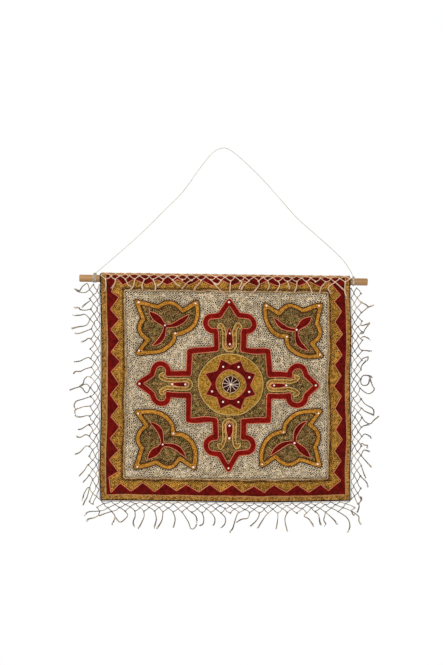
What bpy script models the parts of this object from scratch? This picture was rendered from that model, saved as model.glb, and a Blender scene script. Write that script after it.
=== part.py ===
"""Embroidered wall hanging on a wooden rod.

A square of chain-stitched cloth hangs from a turned rod. The cloth comes up the front, goes over the rod
and is turned down behind it as a hem. A knotted net with tassels edges all four sides, and the net of the
upper edge falls forward over the front. A thin string runs from one end of the rod to the other.

Metres, +Z up, the front faces -Y. The origin is the top of the string, where it hangs on a hook.
"""

import math
import random

import bmesh
import bpy
from mathutils import Vector

# Rod
ROD_LENGTH = 0.699
ROD_RADIUS = 0.00875
ROD_CENTRE_X = 0.0012
ROD_CENTRE_Z = -0.3206
ROD_TILT = math.radians(0.754)
ROD_SIDES = 24
ROD_EDGE = 0.0012

# Cloth
CLOTH_THICKNESS = 0.0024
CLOTH_LEFT = -0.298
CLOTH_RIGHT = 0.3095
CLOTH_BOTTOM = -0.8545
BOTTOM_SAG = 0.0042
BOTTOM_SAG_SKEW = 1.6
LEFT_DRAW_IN = 0.0034
LEFT_CORNER_IN = 0.0036
RIGHT_WANDER = 0.0015
ROD_GAP = 0.0005
HEM_DEPTH = 0.042
HEM_JOIN = 0.030
LAYER_GAP = 0.0006
BILLOW_START = 0.055
BILLOW_FULL = 0.300
SWELL = 0.0020
RIPPLE = 0.0011
CORNER_CURL = 0.0035
CLOTH_COLUMNS = 20
FRONT_ROWS = 20
WRAP_ROWS = 12
TAIL_ROWS = 2

# Netted edging, as distances from the middle of its root strip
YARN = 0.0024
EDGE_GAP = 0.0006
KNOT_ROWS = (0.0064, 0.0146, 0.0234)
BOTTOM_LOOPS = 26
SIDE_LOOPS = 22
SIDE_START = 0.016
CORNER_INSET = 0.0036
CORNER_REACH = 0.060
CORNER_FLARE = 0.75
KNOT_SHIFT = 0.0011
FRONT_CLEARANCE = 0.0024

# Tassels
TASSELS = {
    "left": {"length": 0.0400, "steps": 5},
    "right": {"length": 0.0350, "steps": 5},
    "bottom": {"length": 0.0400, "steps": 5},
    "top": {"length": 0.0390, "steps": 4},
}
TASSEL_RADIUS = 0.0013
TASSEL_HEAD_RADIUS = 0.0019
TASSEL_UNEVEN = 0.08
TASSEL_DEPTH = 0.10
TASSEL_LEAN = math.radians(9.0)
TASSEL_CURL = math.radians(26.0)
SIDE_TILT = math.radians(8.0)
SIDE_DROOP = math.radians(28.0)

# String
STRING_DIAMETER = 0.0016
STRING_POINTS = 50
WINDING_HEIGHT = 0.0019
PIECE_GAP = 0.0003
WINDINGS = {
    "string_knot_left": {"middle": -0.3110, "width": 0.0100},
    "string_knot_right": {"middle": 0.3165, "width": 0.0062},
}
STRING_ROUTE = (
    (-0.3095, -0.3045),
    (-0.3039, -0.2993),
    (-0.2700, -0.2705),
    (-0.2420, -0.2461),
    (-0.1976, -0.2065),
    (-0.1480, -0.1570),
    (-0.0985, -0.1073),
    (-0.0587, -0.0529),
    (-0.0267, -0.0133),
    (0.0000, 0.0000),
    (0.0255, -0.0107),
    (0.0650, -0.0454),
    (0.0998, -0.0801),
    (0.1393, -0.1247),
    (0.1789, -0.1694),
    (0.2235, -0.2090),
    (0.2830, -0.2633),
    (0.3070, -0.2945),
    (0.3158, -0.3129),
)

WRAP_RADIUS = ROD_RADIUS + ROD_GAP + CLOTH_THICKNESS / 2
NET_RADIUS = WRAP_RADIUS + CLOTH_THICKNESS / 2 + FRONT_CLEARANCE

COLOURS = {
    "rod": ((0.46, 0.27, 0.12), 0.55),
    "cloth": ((0.26, 0.13, 0.04), 0.90),
    "fringe": ((0.42, 0.36, 0.28), 0.90),
    "string": ((0.70, 0.68, 0.62), 0.85),
}


def clear_scene():
    for old in list(bpy.data.objects):
        bpy.data.objects.remove(old)


def new_collection(name):
    made = bpy.data.collections.new(name)
    bpy.context.scene.collection.children.link(made)
    return made


def new_material(name):
    colour, roughness = COLOURS[name]
    made = bpy.data.materials.new(name)
    made.use_nodes = True
    shader = made.node_tree.nodes["Principled BSDF"]
    shader.inputs["Base Color"].default_value = (*colour, 1.0)
    shader.inputs["Roughness"].default_value = roughness
    shader.inputs["Metallic"].default_value = 0.0
    return made


def new_object(name, data, collection, material):
    made = bpy.data.objects.new(name, data)
    collection.objects.link(made)
    data.materials.append(material)
    return made


def mesh_from(name, bm):
    data = bpy.data.meshes.new(name)
    bm.to_mesh(data)
    bm.free()
    return data


def smooth_step(value):
    value = min(max(value, 0.0), 1.0)
    return value * value * (3.0 - 2.0 * value)


def rod_z(x):
    """Height of the rod's axis at x: the right end hangs a little lower."""
    return ROD_CENTRE_Z - math.tan(ROD_TILT) * (x - ROD_CENTRE_X)


def left_edge(z):
    """The left side draws in at the middle, swings out below it, and comes back at the lower corner."""
    drop = (z - ROD_CENTRE_Z) / (CLOTH_BOTTOM - ROD_CENTRE_Z)
    corner = LEFT_CORNER_IN * smooth_step((drop - 0.85) / 0.15)
    return CLOTH_LEFT + LEFT_DRAW_IN * math.sin(1.33 * math.pi * drop) + corner


def right_edge(z):
    """The right side wanders in and out twice."""
    drop = (z - ROD_CENTRE_Z) / (CLOTH_BOTTOM - ROD_CENTRE_Z)
    return CLOTH_RIGHT + RIGHT_WANDER * math.sin(4.6 * math.pi * drop - 2.19)


def bottom_edge(across):
    """The lower side, from the left corner at 0 to the right one at 1. It sags most right of the middle."""
    part = min(max(across, 0.0), 1.0)
    return CLOTH_BOTTOM - BOTTOM_SAG * math.sin(math.pi * part**BOTTOM_SAG_SKEW)


def billow(across, drop):
    """How far the hung cloth stands off its plane, nothing at the rod and most towards its lower corners."""
    fade = smooth_step((drop - BILLOW_START) / BILLOW_FULL)
    swell = SWELL * math.sin(2.0 * math.pi * (1.15 * across + 0.08))
    ripple = RIPPLE * math.sin(2.0 * math.pi * (2.6 * across + 1.4 * drop + 0.3))
    corners = CORNER_CURL * (2.0 * across - 1.0) ** 4 * smooth_step((drop - 0.35) / 0.20)
    return fade * (swell + ripple) - corners


def sheet_point(across, up):
    """A point midway through the hanging part, from the lower hem at up = 0 to the rod's height at up = 1."""
    x = CLOTH_LEFT + (CLOTH_RIGHT - CLOTH_LEFT) * across
    low = bottom_edge(across)
    z = low + (rod_z(x) - low) * up
    x = left_edge(z) + (right_edge(z) - left_edge(z)) * across
    return Vector((x, billow(across, rod_z(x) - z) - WRAP_RADIUS, z))


def hem_path():
    """The cloth's way round and behind the rod, as (y, height above the rod's axis) from the front on."""
    inner_y = -WRAP_RADIUS + CLOTH_THICKNESS + LAYER_GAP
    reach = math.hypot(inner_y, HEM_JOIN)
    leaves = math.atan2(-HEM_JOIN, inner_y) + math.acos(WRAP_RADIUS / reach)
    turn = math.pi - leaves
    path = []
    for step in range(1, WRAP_ROWS + 1):
        angle = turn * step / WRAP_ROWS
        path.append((-WRAP_RADIUS * math.cos(angle), WRAP_RADIUS * math.sin(angle)))
    start_y, start_z = path[-1]
    for step in range(1, TAIL_ROWS + 1):
        part = step / TAIL_ROWS
        path.append((start_y + (inner_y - start_y) * part, start_z + (-HEM_JOIN - start_z) * part))
    path.append((inner_y, -HEM_DEPTH))
    return path


def make_cloth(collection):
    """One sheet: up the front, over the rod, and turned down behind it as the hem that holds the rod."""
    bm = bmesh.new()
    path = hem_path()
    rows = []
    for row in range(FRONT_ROWS + 1):
        up = row / FRONT_ROWS
        places = [sheet_point(column / CLOTH_COLUMNS, up) for column in range(CLOTH_COLUMNS + 1)]
        rows.append([bm.verts.new(place) for place in places])
    for y, height in path:
        line = []
        for column in range(CLOTH_COLUMNS + 1):
            x = sheet_point(column / CLOTH_COLUMNS, 1.0).x
            line.append(bm.verts.new((x, y, rod_z(x) + height)))
        rows.append(line)
    for lower, upper in zip(rows, rows[1:]):
        for column in range(CLOTH_COLUMNS):
            bm.faces.new((lower[column], lower[column + 1], upper[column + 1], upper[column]))
    cloth = new_object("cloth", mesh_from("cloth", bm), collection, new_material("cloth"))
    solidify = cloth.modifiers.new("thickness", "SOLIDIFY")
    solidify.thickness = CLOTH_THICKNESS
    solidify.offset = 0.0
    solidify.use_even_offset = True
    cloth.data.shade_smooth()
    return cloth


def make_rod(collection):
    bpy.ops.mesh.primitive_cylinder_add(vertices=ROD_SIDES, radius=ROD_RADIUS, depth=ROD_LENGTH)
    rod = bpy.context.active_object
    rod.name = "rod"
    rod.data.name = "rod"
    rod.location = (ROD_CENTRE_X, 0.0, ROD_CENTRE_Z)
    rod.rotation_euler = (0.0, math.pi / 2 + ROD_TILT, 0.0)
    for holder in list(rod.users_collection):
        holder.objects.unlink(rod)
    collection.objects.link(rod)
    rod.data.materials.append(new_material("rod"))
    rod.data.shade_smooth()
    rod.data.set_sharp_from_angle(angle=math.radians(40))
    ends = rod.modifiers.new("worn ends", "BEVEL")
    ends.width = ROD_EDGE
    ends.segments = 1
    ends.limit_method = "ANGLE"
    ends.angle_limit = math.radians(40)
    return rod


def flare_at(along, length, ends):
    """How far the net leans out towards a corner: 0 in the middle of a side, the full lean at its end."""
    lean = 0.0
    if ends[0]:
        lean -= CORNER_FLARE * smooth_step(1.0 - along / CORNER_REACH) ** 0.8
    if ends[1]:
        lean += CORNER_FLARE * smooth_step(1.0 - (length - along) / CORNER_REACH) ** 0.8
    return lean


def side_place(side, along, length, out):
    """A place on a net: `along` the cloth's edge, and `out` from the middle of the net's root strip."""
    root = YARN / 2 + EDGE_GAP
    if side == "top":
        x = CLOTH_LEFT + CORNER_INSET + along
        turned = out / NET_RADIUS
        if turned < math.pi / 2:
            return Vector((x, -NET_RADIUS * math.sin(turned), rod_z(x) + NET_RADIUS * math.cos(turned)))
        return Vector((x, -NET_RADIUS, rod_z(x) + NET_RADIUS * math.pi / 2 - out))
    if side == "bottom":
        shift = flare_at(along, length, (True, True)) * out
        edge = sheet_point((CORNER_INSET + along) / (CLOTH_RIGHT - CLOTH_LEFT), 0.0)
        return edge + Vector((shift, 0.0, -root - out))
    across = 0.0 if side == "left" else 1.0
    outward = -1.0 if side == "left" else 1.0
    up = (length + CORNER_INSET - along) / (length + CORNER_INSET + SIDE_START)
    shift = flare_at(along, length, (False, True)) * out
    edge = sheet_point(across, up)
    return edge + Vector((outward * (root + out), 0.0, -shift))


def net_faces(side, length, loops, rng):
    """The meshes of a net as faces: a row of triangles on the root strip, then two rows of diamonds.

    Returns the mesh and the last row's knots, where the tassels hang.
    """
    bm = bmesh.new()
    pitch = length / loops

    def knot(along, out, loose):
        shift = rng.uniform(-KNOT_SHIFT, KNOT_SHIFT) * loose
        fall = rng.uniform(-KNOT_SHIFT, KNOT_SHIFT) * 0.6 * loose
        return bm.verts.new(side_place(side, along + shift, length, out + fall))

    root = [knot(k * pitch, 0.0, 0.0) for k in range(loops + 1)]
    first = [knot((k + 0.5) * pitch, KNOT_ROWS[0], 1.0) for k in range(loops)]
    second = [knot(k * pitch, KNOT_ROWS[1], 1.0) for k in range(loops + 1)]
    third = [knot((k + 0.5) * pitch, KNOT_ROWS[2], 1.2) for k in range(loops)]
    for k in range(loops):
        bm.faces.new((root[k], root[k + 1], first[k]))
        bm.faces.new((first[k], second[k + 1], third[k], second[k]))
    for k in range(1, loops):
        bm.faces.new((root[k], first[k], second[k], first[k - 1]))
    bmesh.ops.recalc_face_normals(bm, faces=bm.faces[:])
    knots = [vertex.co.copy() for vertex in third]
    return mesh_from("net_" + side, bm), knots


def tassel_points(side, start, along, length, rng):
    """A tassel's middle line: it leaves its knot outwards, leans at random and curls as it goes."""
    lean = rng.uniform(-TASSEL_LEAN, TASSEL_LEAN)
    curl = rng.uniform(-TASSEL_CURL, TASSEL_CURL)
    long = TASSELS[side]["length"] * (1.0 - TASSEL_UNEVEN * rng.uniform(-0.5, 1.0))
    depth = rng.uniform(-TASSEL_DEPTH, TASSEL_DEPTH)
    if side == "top":
        heading, droop, depth = -math.pi / 2, 0.0, 0.0
    elif side == "bottom":
        heading, droop = -math.pi / 2 + 0.6 * flare_at(along, length, (True, True)), 0.0
    else:
        corner = flare_at(along, length, (False, True))
        tilt = SIDE_TILT + 0.4 * corner
        heading = math.pi + tilt if side == "left" else -tilt
        droop = (SIDE_DROOP if side == "left" else -SIDE_DROOP) * (1.0 - corner)
    steps = TASSELS[side]["steps"]
    step = long / steps
    place = start.copy()
    points = [place.copy()]
    for count in range(steps):
        part = (count + 0.5) / steps
        angle = heading + lean + curl * math.sin(math.pi * part * 1.2) * 0.6 + droop * part
        place = place + step * Vector((math.cos(angle), depth * part, math.sin(angle)))
        points.append(place.copy())
    return points


def make_tassels(name, lines, helpers, material):
    """All the tassels of one side as four-sided tubes, thick at the knot, in one mesh for the join."""
    curve = bpy.data.curves.new(name, "CURVE")
    curve.dimensions = "3D"
    curve.bevel_depth = TASSEL_RADIUS
    curve.bevel_resolution = 0
    curve.use_fill_caps = True
    for points in lines:
        spline = curve.splines.new("POLY")
        back = points[0] - (points[1] - points[0]).normalized() * TASSEL_RADIUS
        route = [back] + points
        spline.points.add(len(route) - 1)
        for index, (target, point) in enumerate(zip(spline.points, route)):
            target.co = (*point, 1.0)
            target.radius = 1.0
            if index < 2:
                target.radius = TASSEL_HEAD_RADIUS / TASSEL_RADIUS
    source = bpy.data.objects.new(name + "_lines", curve)
    helpers.objects.link(source)
    bpy.context.view_layer.update()
    graph = bpy.context.evaluated_depsgraph_get()
    data = bpy.data.meshes.new_from_object(source.evaluated_get(graph))
    bm = bmesh.new()
    bm.from_mesh(data)
    bmesh.ops.remove_doubles(bm, verts=bm.verts[:], dist=1e-6)
    bmesh.ops.recalc_face_normals(bm, faces=bm.faces[:])
    bm.to_mesh(data)
    bm.free()
    made = new_object(name, data, helpers, material)
    made.matrix_world = source.matrix_world
    bpy.data.objects.remove(source)
    made.hide_render = True
    made.display_type = "WIRE"
    return made


def side_length(side):
    if side in ("top", "bottom"):
        return CLOTH_RIGHT - CLOTH_LEFT - 2 * CORNER_INSET
    corner = CLOTH_LEFT if side == "left" else CLOTH_RIGHT
    return rod_z(corner) - CLOTH_BOTTOM - SIDE_START - CORNER_INSET


def make_fringe(side, collection, helpers, material, seed):
    """One side's edging: its root strip, its net and its tassels, in one piece."""
    rng = random.Random(seed)
    length = side_length(side)
    loops = BOTTOM_LOOPS if side in ("top", "bottom") else SIDE_LOOPS
    data, knots = net_faces(side, length, loops, rng)
    lines = []
    for count, knot in enumerate(knots):
        along = (count + 0.5) * length / loops
        lines.append(tassel_points(side, knot, along, length, rng))
    tassels = make_tassels("tassels_" + side, lines, helpers, material)
    fringe = new_object("fringe_" + side, data, collection, material)
    yarn = fringe.modifiers.new("yarn", "WIREFRAME")
    yarn.thickness = YARN
    yarn.offset = 0.0
    yarn.use_boundary = True
    yarn.use_replace = True
    yarn.use_even_offset = True
    yarn.use_relative_offset = False
    join = fringe.modifiers.new("tassels", "BOOLEAN")
    join.operation = "UNION"
    join.solver = "EXACT"
    join.object = tassels
    return fringe


def through(points, count):
    """`count` places read from a smooth curve that passes through the route's own points."""
    route = [Vector((x, 0.0, z)) for x, z in points]
    route = [2 * route[0] - route[1]] + route + [2 * route[-1] - route[-2]]
    fine = []
    for before, start, end, after in zip(route, route[1:], route[2:], route[3:]):
        for step in range(20):
            t = step / 20
            fine.append(
                0.5
                * (
                    2 * start
                    + (end - before) * t
                    + (2 * before - 5 * start + 4 * end - after) * t * t
                    + (3 * start - before - 3 * end + after) * t * t * t
                )
            )
    fine.append(route[-2])
    total = sum((b - a).length for a, b in zip(fine, fine[1:]))
    places = [fine[0]]
    passed = 0.0
    for a, b in zip(fine, fine[1:]):
        span = (b - a).length
        while len(places) < count - 1 and passed + span >= total * len(places) / (count - 1):
            part = (total * len(places) / (count - 1) - passed) / span
            places.append(a.lerp(b, part))
        passed += span
    places.append(fine[-1])
    return places


def make_string(collection, material):
    curve = bpy.data.curves.new("hanging_string", "CURVE")
    curve.dimensions = "3D"
    curve.bevel_depth = STRING_DIAMETER / 2
    curve.bevel_resolution = 2
    curve.use_fill_caps = True
    spline = curve.splines.new("POLY")
    places = through(STRING_ROUTE, STRING_POINTS)
    spline.points.add(len(places) - 1)
    for target, place in zip(spline.points, places):
        target.co = (*place, 1.0)
    return new_object("hanging_string", curve, collection, material)


def make_winding(name, collection, material):
    """The string's turns round the rod, as one turned ring."""
    sizes = WINDINGS[name]
    half = sizes["width"] / 2
    inner = ROD_RADIUS + PIECE_GAP
    outer = inner + WINDING_HEIGHT
    outline = ((inner, -half), (inner, half), (outer, half), (outer, -half))
    bm = bmesh.new()
    ring = [bm.verts.new((radius, 0.0, along)) for radius, along in outline]
    for a, b in zip(ring, ring[1:] + ring[:1]):
        bm.edges.new((a, b))
    winding = new_object(name, mesh_from(name, bm), collection, material)
    turn = winding.modifiers.new("turn", "SCREW")
    turn.steps = ROD_SIDES
    turn.render_steps = ROD_SIDES
    turn.angle = 2 * math.pi
    turn.screw_offset = 0.0
    turn.use_merge_vertices = True
    turn.merge_threshold = 0.00005
    turn.use_normal_flip = False
    turn.use_smooth_shade = True
    winding.location = (sizes["middle"], 0.0, rod_z(sizes["middle"]))
    winding.rotation_euler = (0.0, math.pi / 2 + ROD_TILT, 0.0)
    return winding


def main():
    clear_scene()
    parts = new_collection("wall_tapestry")
    helpers = new_collection("helpers")
    make_rod(parts)
    make_cloth(parts)
    edging = new_material("fringe")
    for seed, side in enumerate(("left", "right", "bottom", "top")):
        make_fringe(side, parts, helpers, edging, 11 + seed)
    string = new_material("string")
    make_string(parts, string)
    for name in WINDINGS:
        make_winding(name, parts, string)


main()
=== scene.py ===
# %% [markdown]
# This lesson dresses an embroidered tapestry. The real object is a square of cloth, worked all over in
# chain stitch, that hangs from a wooden dowel on a thin string. A knotted net with tassels edges its sides.
# The imported solids give the size and the place of every piece. We load them first.

# %% Load the imported solids
import math
import random

import bmesh
import bpy
import numpy as np
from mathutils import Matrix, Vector


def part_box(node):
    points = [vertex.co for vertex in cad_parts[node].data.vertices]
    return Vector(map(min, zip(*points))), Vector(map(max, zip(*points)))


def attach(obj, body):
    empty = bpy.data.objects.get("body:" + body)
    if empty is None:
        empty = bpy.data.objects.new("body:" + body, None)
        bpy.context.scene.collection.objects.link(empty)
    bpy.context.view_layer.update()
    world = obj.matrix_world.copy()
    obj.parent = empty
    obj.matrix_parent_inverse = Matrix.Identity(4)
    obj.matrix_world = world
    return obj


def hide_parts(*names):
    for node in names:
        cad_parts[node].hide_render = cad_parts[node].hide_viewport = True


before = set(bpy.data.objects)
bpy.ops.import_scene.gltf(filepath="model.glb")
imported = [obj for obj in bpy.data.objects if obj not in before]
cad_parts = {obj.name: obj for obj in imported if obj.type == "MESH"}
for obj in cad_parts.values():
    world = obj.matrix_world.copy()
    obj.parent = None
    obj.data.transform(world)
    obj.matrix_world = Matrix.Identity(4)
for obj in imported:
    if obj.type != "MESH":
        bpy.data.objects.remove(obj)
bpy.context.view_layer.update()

print("solids:", sorted(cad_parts))

# %% [markdown]
# The camera comes first, because everything is judged through it. The photograph looks straight at the
# cloth, so the lens is long and the camera stands level with the middle of the picture. One pixel of the
# photograph is 2.427 mm on the cloth, and the string's peak lies at pixel 223, 148.

# %% Camera
METRES_PER_PIXEL = 0.002427
PICTURE_WIDTH = 443
PICTURE_HEIGHT = 665
PEAK_PIXEL = (223.0, 148.0)
CAMERA_DISTANCE = 3.5
SENSOR_WIDTH = 36.0


def make_camera():
    data = bpy.data.cameras.new("camera")
    data.sensor_width = SENSOR_WIDTH
    data.lens = SENSOR_WIDTH * CAMERA_DISTANCE / (PICTURE_HEIGHT * METRES_PER_PIXEL)
    camera = bpy.data.objects.new("camera", data)
    bpy.context.scene.collection.objects.link(camera)
    x = (PICTURE_WIDTH / 2 - PEAK_PIXEL[0]) * METRES_PER_PIXEL
    z = (PEAK_PIXEL[1] - PICTURE_HEIGHT / 2) * METRES_PER_PIXEL
    camera.location = (x, -CAMERA_DISTANCE, z)
    camera.rotation_euler = (math.pi / 2, 0.0, 0.0)
    bpy.context.scene.camera = camera
    return camera


camera = make_camera()
print("lens", round(camera.data.lens, 1), "mm")

# %% [markdown]
# A stitch is only two pixels wide here. Blender's noise filter first blurs its own guide pictures, and that
# wipes such fine dots away. Without this first blur the filter still cleans the shadows and keeps every
# stitch.

# %% Keep fine stitches
bpy.context.scene.cycles.denoising_prefilter = "NONE"
print("noise filter guides:", bpy.context.scene.cycles.denoising_prefilter)

# %% [markdown]
# The light is a plain studio: an even white room, one large soft lamp high on the left that draws out the
# relief of the stitches, a weaker one on the right, and one behind for the back. Past the cloth the camera
# sees plain white, and a pale round floor lies below, where it shows only from above. The standard view
# transform keeps the white white.

# %% Light
ROOM_LIGHT = 0.56
LAMPS = {
    "key_light": {"place": (-1.7, -2.4, 1.2), "size": 1.3, "watts": 84.0},
    "fill_light": {"place": (1.9, -2.8, -0.4), "size": 1.8, "watts": 20.0},
    "back_light": {"place": (1.4, 2.6, 0.5), "size": 1.6, "watts": 46.0},
}
LIT_POINT = Vector((0.0, 0.0, -0.55))
WHITE = (1.0, 1.0, 1.0, 1.0)


def connect(tree, *wires):
    """Links nodes. Each wire names a node, its output, the next node and its input."""
    for giver, output, taker, entry in wires:
        tree.links.new(giver.outputs[output], taker.inputs[entry])


def make_room():
    world = bpy.data.worlds.new("room")
    world.use_nodes = True
    nodes = world.node_tree.nodes
    room = nodes["Background"]
    room.inputs["Color"].default_value = WHITE
    room.inputs["Strength"].default_value = ROOM_LIGHT
    seen = nodes.new("ShaderNodeBackground")
    seen.inputs["Color"].default_value = WHITE
    path = nodes.new("ShaderNodeLightPath")
    mix = nodes.new("ShaderNodeMixShader")
    connect(
        world.node_tree,
        (path, "Is Camera Ray", mix, 0),
        (room, 0, mix, 1),
        (seen, 0, mix, 2),
        (mix, 0, nodes["World Output"], "Surface"),
    )
    bpy.context.scene.world = world
    bpy.context.scene.view_settings.view_transform = "Standard"


def make_lamp(name):
    facts = LAMPS[name]
    data = bpy.data.lights.new(name, "AREA")
    data.size = facts["size"]
    data.energy = facts["watts"]
    lamp = bpy.data.objects.new(name, data)
    bpy.context.scene.collection.objects.link(lamp)
    lamp.location = facts["place"]
    lamp.rotation_euler = (LIT_POINT - lamp.location).to_track_quat("-Z", "Y").to_euler()


make_room()
for lamp_name in LAMPS:
    make_lamp(lamp_name)
print("lamps:", ", ".join(LAMPS))

# %% [markdown]
# Materials are built from a few nodes. Colours are noted as they look on a screen, 0 to 255, and a small
# helper turns them into the linear numbers that shaders take. Three more helpers add a node, spread colours
# over a ramp, and start a material, so each finish below is only a short list of nodes and links.

# %% Material helpers
def screen(red, green, blue):
    """A screen colour as linear numbers with full cover."""
    parts = [value / 255.0 for value in (red, green, blue)]
    return tuple(p / 12.92 if p <= 0.04045 else ((p + 0.055) / 1.055) ** 2.4 for p in parts) + (1.0,)


def node(tree, kind, place, **settings):
    """Adds a node and sets its inputs and options by name."""
    made = tree.nodes.new(kind)
    made.location = place
    for name, value in settings.items():
        if name in made.inputs:
            made.inputs[name].default_value = value
        else:
            setattr(made, name, value)
    return made


def set_ramp(ramp, colours):
    """Spreads the colours evenly over a colour ramp."""
    elements = ramp.color_ramp.elements
    while len(elements) < len(colours):
        elements.new(1.0)
    for index, colour in enumerate(colours):
        elements[index].position = (index + 0.5) / len(colours)
        elements[index].color = colour


def new_material(name, roughness, sheen, shine=0.04):
    made = bpy.data.materials.new(name)
    made.use_nodes = True
    shader = made.node_tree.nodes["Principled BSDF"]
    shader.inputs["Roughness"].default_value = roughness
    shader.inputs["Sheen Weight"].default_value = sheen
    shader.inputs["Specular IOR Level"].default_value = shine
    return made, made.node_tree, shader


print("middle grey is", [round(part, 3) for part in screen(128, 128, 128)[:3]])

# %% [markdown]
# Yarn needs four things: a shade that changes from stitch to stitch, which cells of noise give, a slow
# change as of wear, a fine fibre that breaks up the light, and a faint sheen. A picture of yarn would
# repeat and go soft close up. Noise that is worked out in the object's own space does neither.

# %% Yarn material
YARN_ROUGHNESS = 0.82
YARN_SHEEN = 0.02
FIBRE_RELIEF = 0.35
FIBRE_HEIGHT = 0.0003
WEAR_SCALE = 26.0
WEAR_RANGE = {"From Min": 0.3, "From Max": 0.7, "To Min": 0.86, "To Max": 1.10}


def yarn_material(name, shades, cell, fibre=2600.0):
    """Spun yarn: each cell of noise takes a shade from the list, and fine noise roughens it."""
    made, tree, shader = new_material(name, YARN_ROUGHNESS, YARN_SHEEN)
    place = node(tree, "ShaderNodeTexCoord", (-1100, 0))
    cells = node(tree, "ShaderNodeTexVoronoi", (-900, 150), Scale=1.0 / cell)
    parts = node(tree, "ShaderNodeSeparateColor", (-720, 150))
    ramp = node(tree, "ShaderNodeValToRGB", (-540, 150))
    set_ramp(ramp, [screen(*shade) for shade in shades])
    fine = node(tree, "ShaderNodeTexNoise", (-900, -200), Scale=fibre, Detail=2.0)
    soft = node(tree, "ShaderNodeTexNoise", (-900, -450), Scale=WEAR_SCALE, Detail=2.0)
    worn = node(tree, "ShaderNodeMapRange", (-700, -450), **WEAR_RANGE)
    tint = node(tree, "ShaderNodeMix", (-240, 100), data_type="RGBA", blend_type="MULTIPLY", Factor=1.0)
    bump = node(tree, "ShaderNodeBump", (-240, -250), Strength=FIBRE_RELIEF, Distance=FIBRE_HEIGHT)
    connect(
        tree,
        (place, "Object", cells, "Vector"),
        (place, "Object", fine, "Vector"),
        (place, "Object", soft, "Vector"),
        (cells, "Color", parts, 0),
        (parts, 0, ramp, "Fac"),
        (soft, "Fac", worn, "Value"),
        (ramp, "Color", tint, "A"),
        (worn, "Result", tint, "B"),
        (tint, "Result", shader, "Base Color"),
        (fine, "Fac", bump, "Height"),
        (bump, "Normal", shader, "Normal"),
    )
    return made


print("yarn roughness", YARN_ROUGHNESS)

# %% [markdown]
# The floor is a plain disc with a matt finish. It belongs to the studio and not to the tapestry.

# %% Floor
FLOOR_HEIGHT = -1.9
FLOOR_RADIUS = 1.5
FLOOR_SIDES = 96
FLOOR_SHADES = ((236, 235, 233), (243, 242, 240))


def plaster_material(name, shades):
    """A smooth matt finish with a faint change of shade."""
    made, tree, shader = new_material(name, 0.9, 0.0)
    place = node(tree, "ShaderNodeTexCoord", (-800, 0))
    cloud = node(tree, "ShaderNodeTexNoise", (-600, 0), Scale=3.0, Detail=4.0)
    ramp = node(tree, "ShaderNodeValToRGB", (-400, 0))
    set_ramp(ramp, [screen(*shade) for shade in shades])
    connect(
        tree,
        (place, "Object", cloud, "Vector"),
        (cloud, "Fac", ramp, "Fac"),
        (ramp, "Color", shader, "Base Color"),
    )
    return made


def make_floor():
    bm = bmesh.new()
    bmesh.ops.create_circle(bm, cap_ends=True, segments=FLOOR_SIDES, radius=FLOOR_RADIUS)
    data = bpy.data.meshes.new("floor")
    bm.to_mesh(data)
    bm.free()
    data.materials.append(plaster_material("floor_plaster", FLOOR_SHADES))
    floor = bpy.data.objects.new("floor", data)
    bpy.context.scene.collection.objects.link(floor)
    floor.location = (0.0, 0.0, FLOOR_HEIGHT)
    return floor


make_floor()
print("floor at", FLOOR_HEIGHT)

# %% [markdown]
# All thread, yarn and cord here is one shape: a tube that follows a line. There are thousands of them, far
# too many for an object each. So a box collects the points and faces of many tubes, and makes one mesh of
# them in one go. Numpy hands them to Blender as whole arrays, which is quick.

# %% A box of tubes
class Tubes:
    """Collects closed tubes and makes them into one mesh of four-cornered faces."""

    def __init__(self):
        self.points = []
        self.faces = []
        self.count = 0

    def add(self, points, faces):
        self.points.append(points)
        self.faces.append(faces + self.count)
        self.count += len(points)

    def add_all(self, tubes):
        for points, faces in tubes:
            self.add(points, faces)

    def triangles(self):
        return 2 * sum(len(faces) for faces in self.faces)

    def build(self, name, material):
        points = np.concatenate(self.points).astype(np.float32)
        faces = np.concatenate(self.faces).astype(np.int32)
        data = bpy.data.meshes.new(name)
        data.vertices.add(len(points))
        data.vertices.foreach_set("co", points.ravel())
        data.loops.add(faces.size)
        data.loops.foreach_set("vertex_index", faces.ravel())
        data.polygons.add(len(faces))
        data.polygons.foreach_set("loop_start", np.arange(len(faces), dtype=np.int32) * 4)
        data.update(calc_edges=True)
        data.validate()
        data.shade_smooth()
        data.materials.append(material)
        made = bpy.data.objects.new(name, data)
        bpy.context.scene.collection.objects.link(made)
        return made


print("a new box holds", Tubes().count, "points")

# %% [markdown]
# A tube is a row of rings. At each point of its line we need two directions across the line, and a ring is
# a circle drawn with those two. Neighbouring rings are joined by four-cornered faces, and the first and
# last ring are closed with a few more. The same skin fits anything else that is made of rings.

# %% Tube
def unit(vectors):
    return vectors / np.maximum(np.linalg.norm(vectors, axis=-1, keepdims=True), 1e-12)


def cross_axes(line, reference=(0.0, 1.0, 0.0)):
    """Two directions across a line at each of its points."""
    along = unit(np.gradient(line, axis=0))
    side = unit(np.cross(along, np.broadcast_to(reference, along.shape)))
    return side, np.cross(side, along)


def skin(rings, sides):
    """The faces of a closed skin over rings of points that follow one another."""
    start = np.arange(rings - 1)[:, None] * sides
    here = np.arange(sides)[None, :]
    there = (here + 1) % sides
    walls = np.stack([start + here, start + there, start + there + sides, start + here + sides], axis=-1)
    last = (rings - 1) * sides
    caps = []
    for corner in range(1, sides - 1, 2):
        after = (corner + 2) % sides
        caps.append((0, after, corner + 1, corner))
        caps.append((last, last + corner, last + corner + 1, last + after))
    return np.concatenate([walls.reshape(-1, 4), np.array(caps)])


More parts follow.
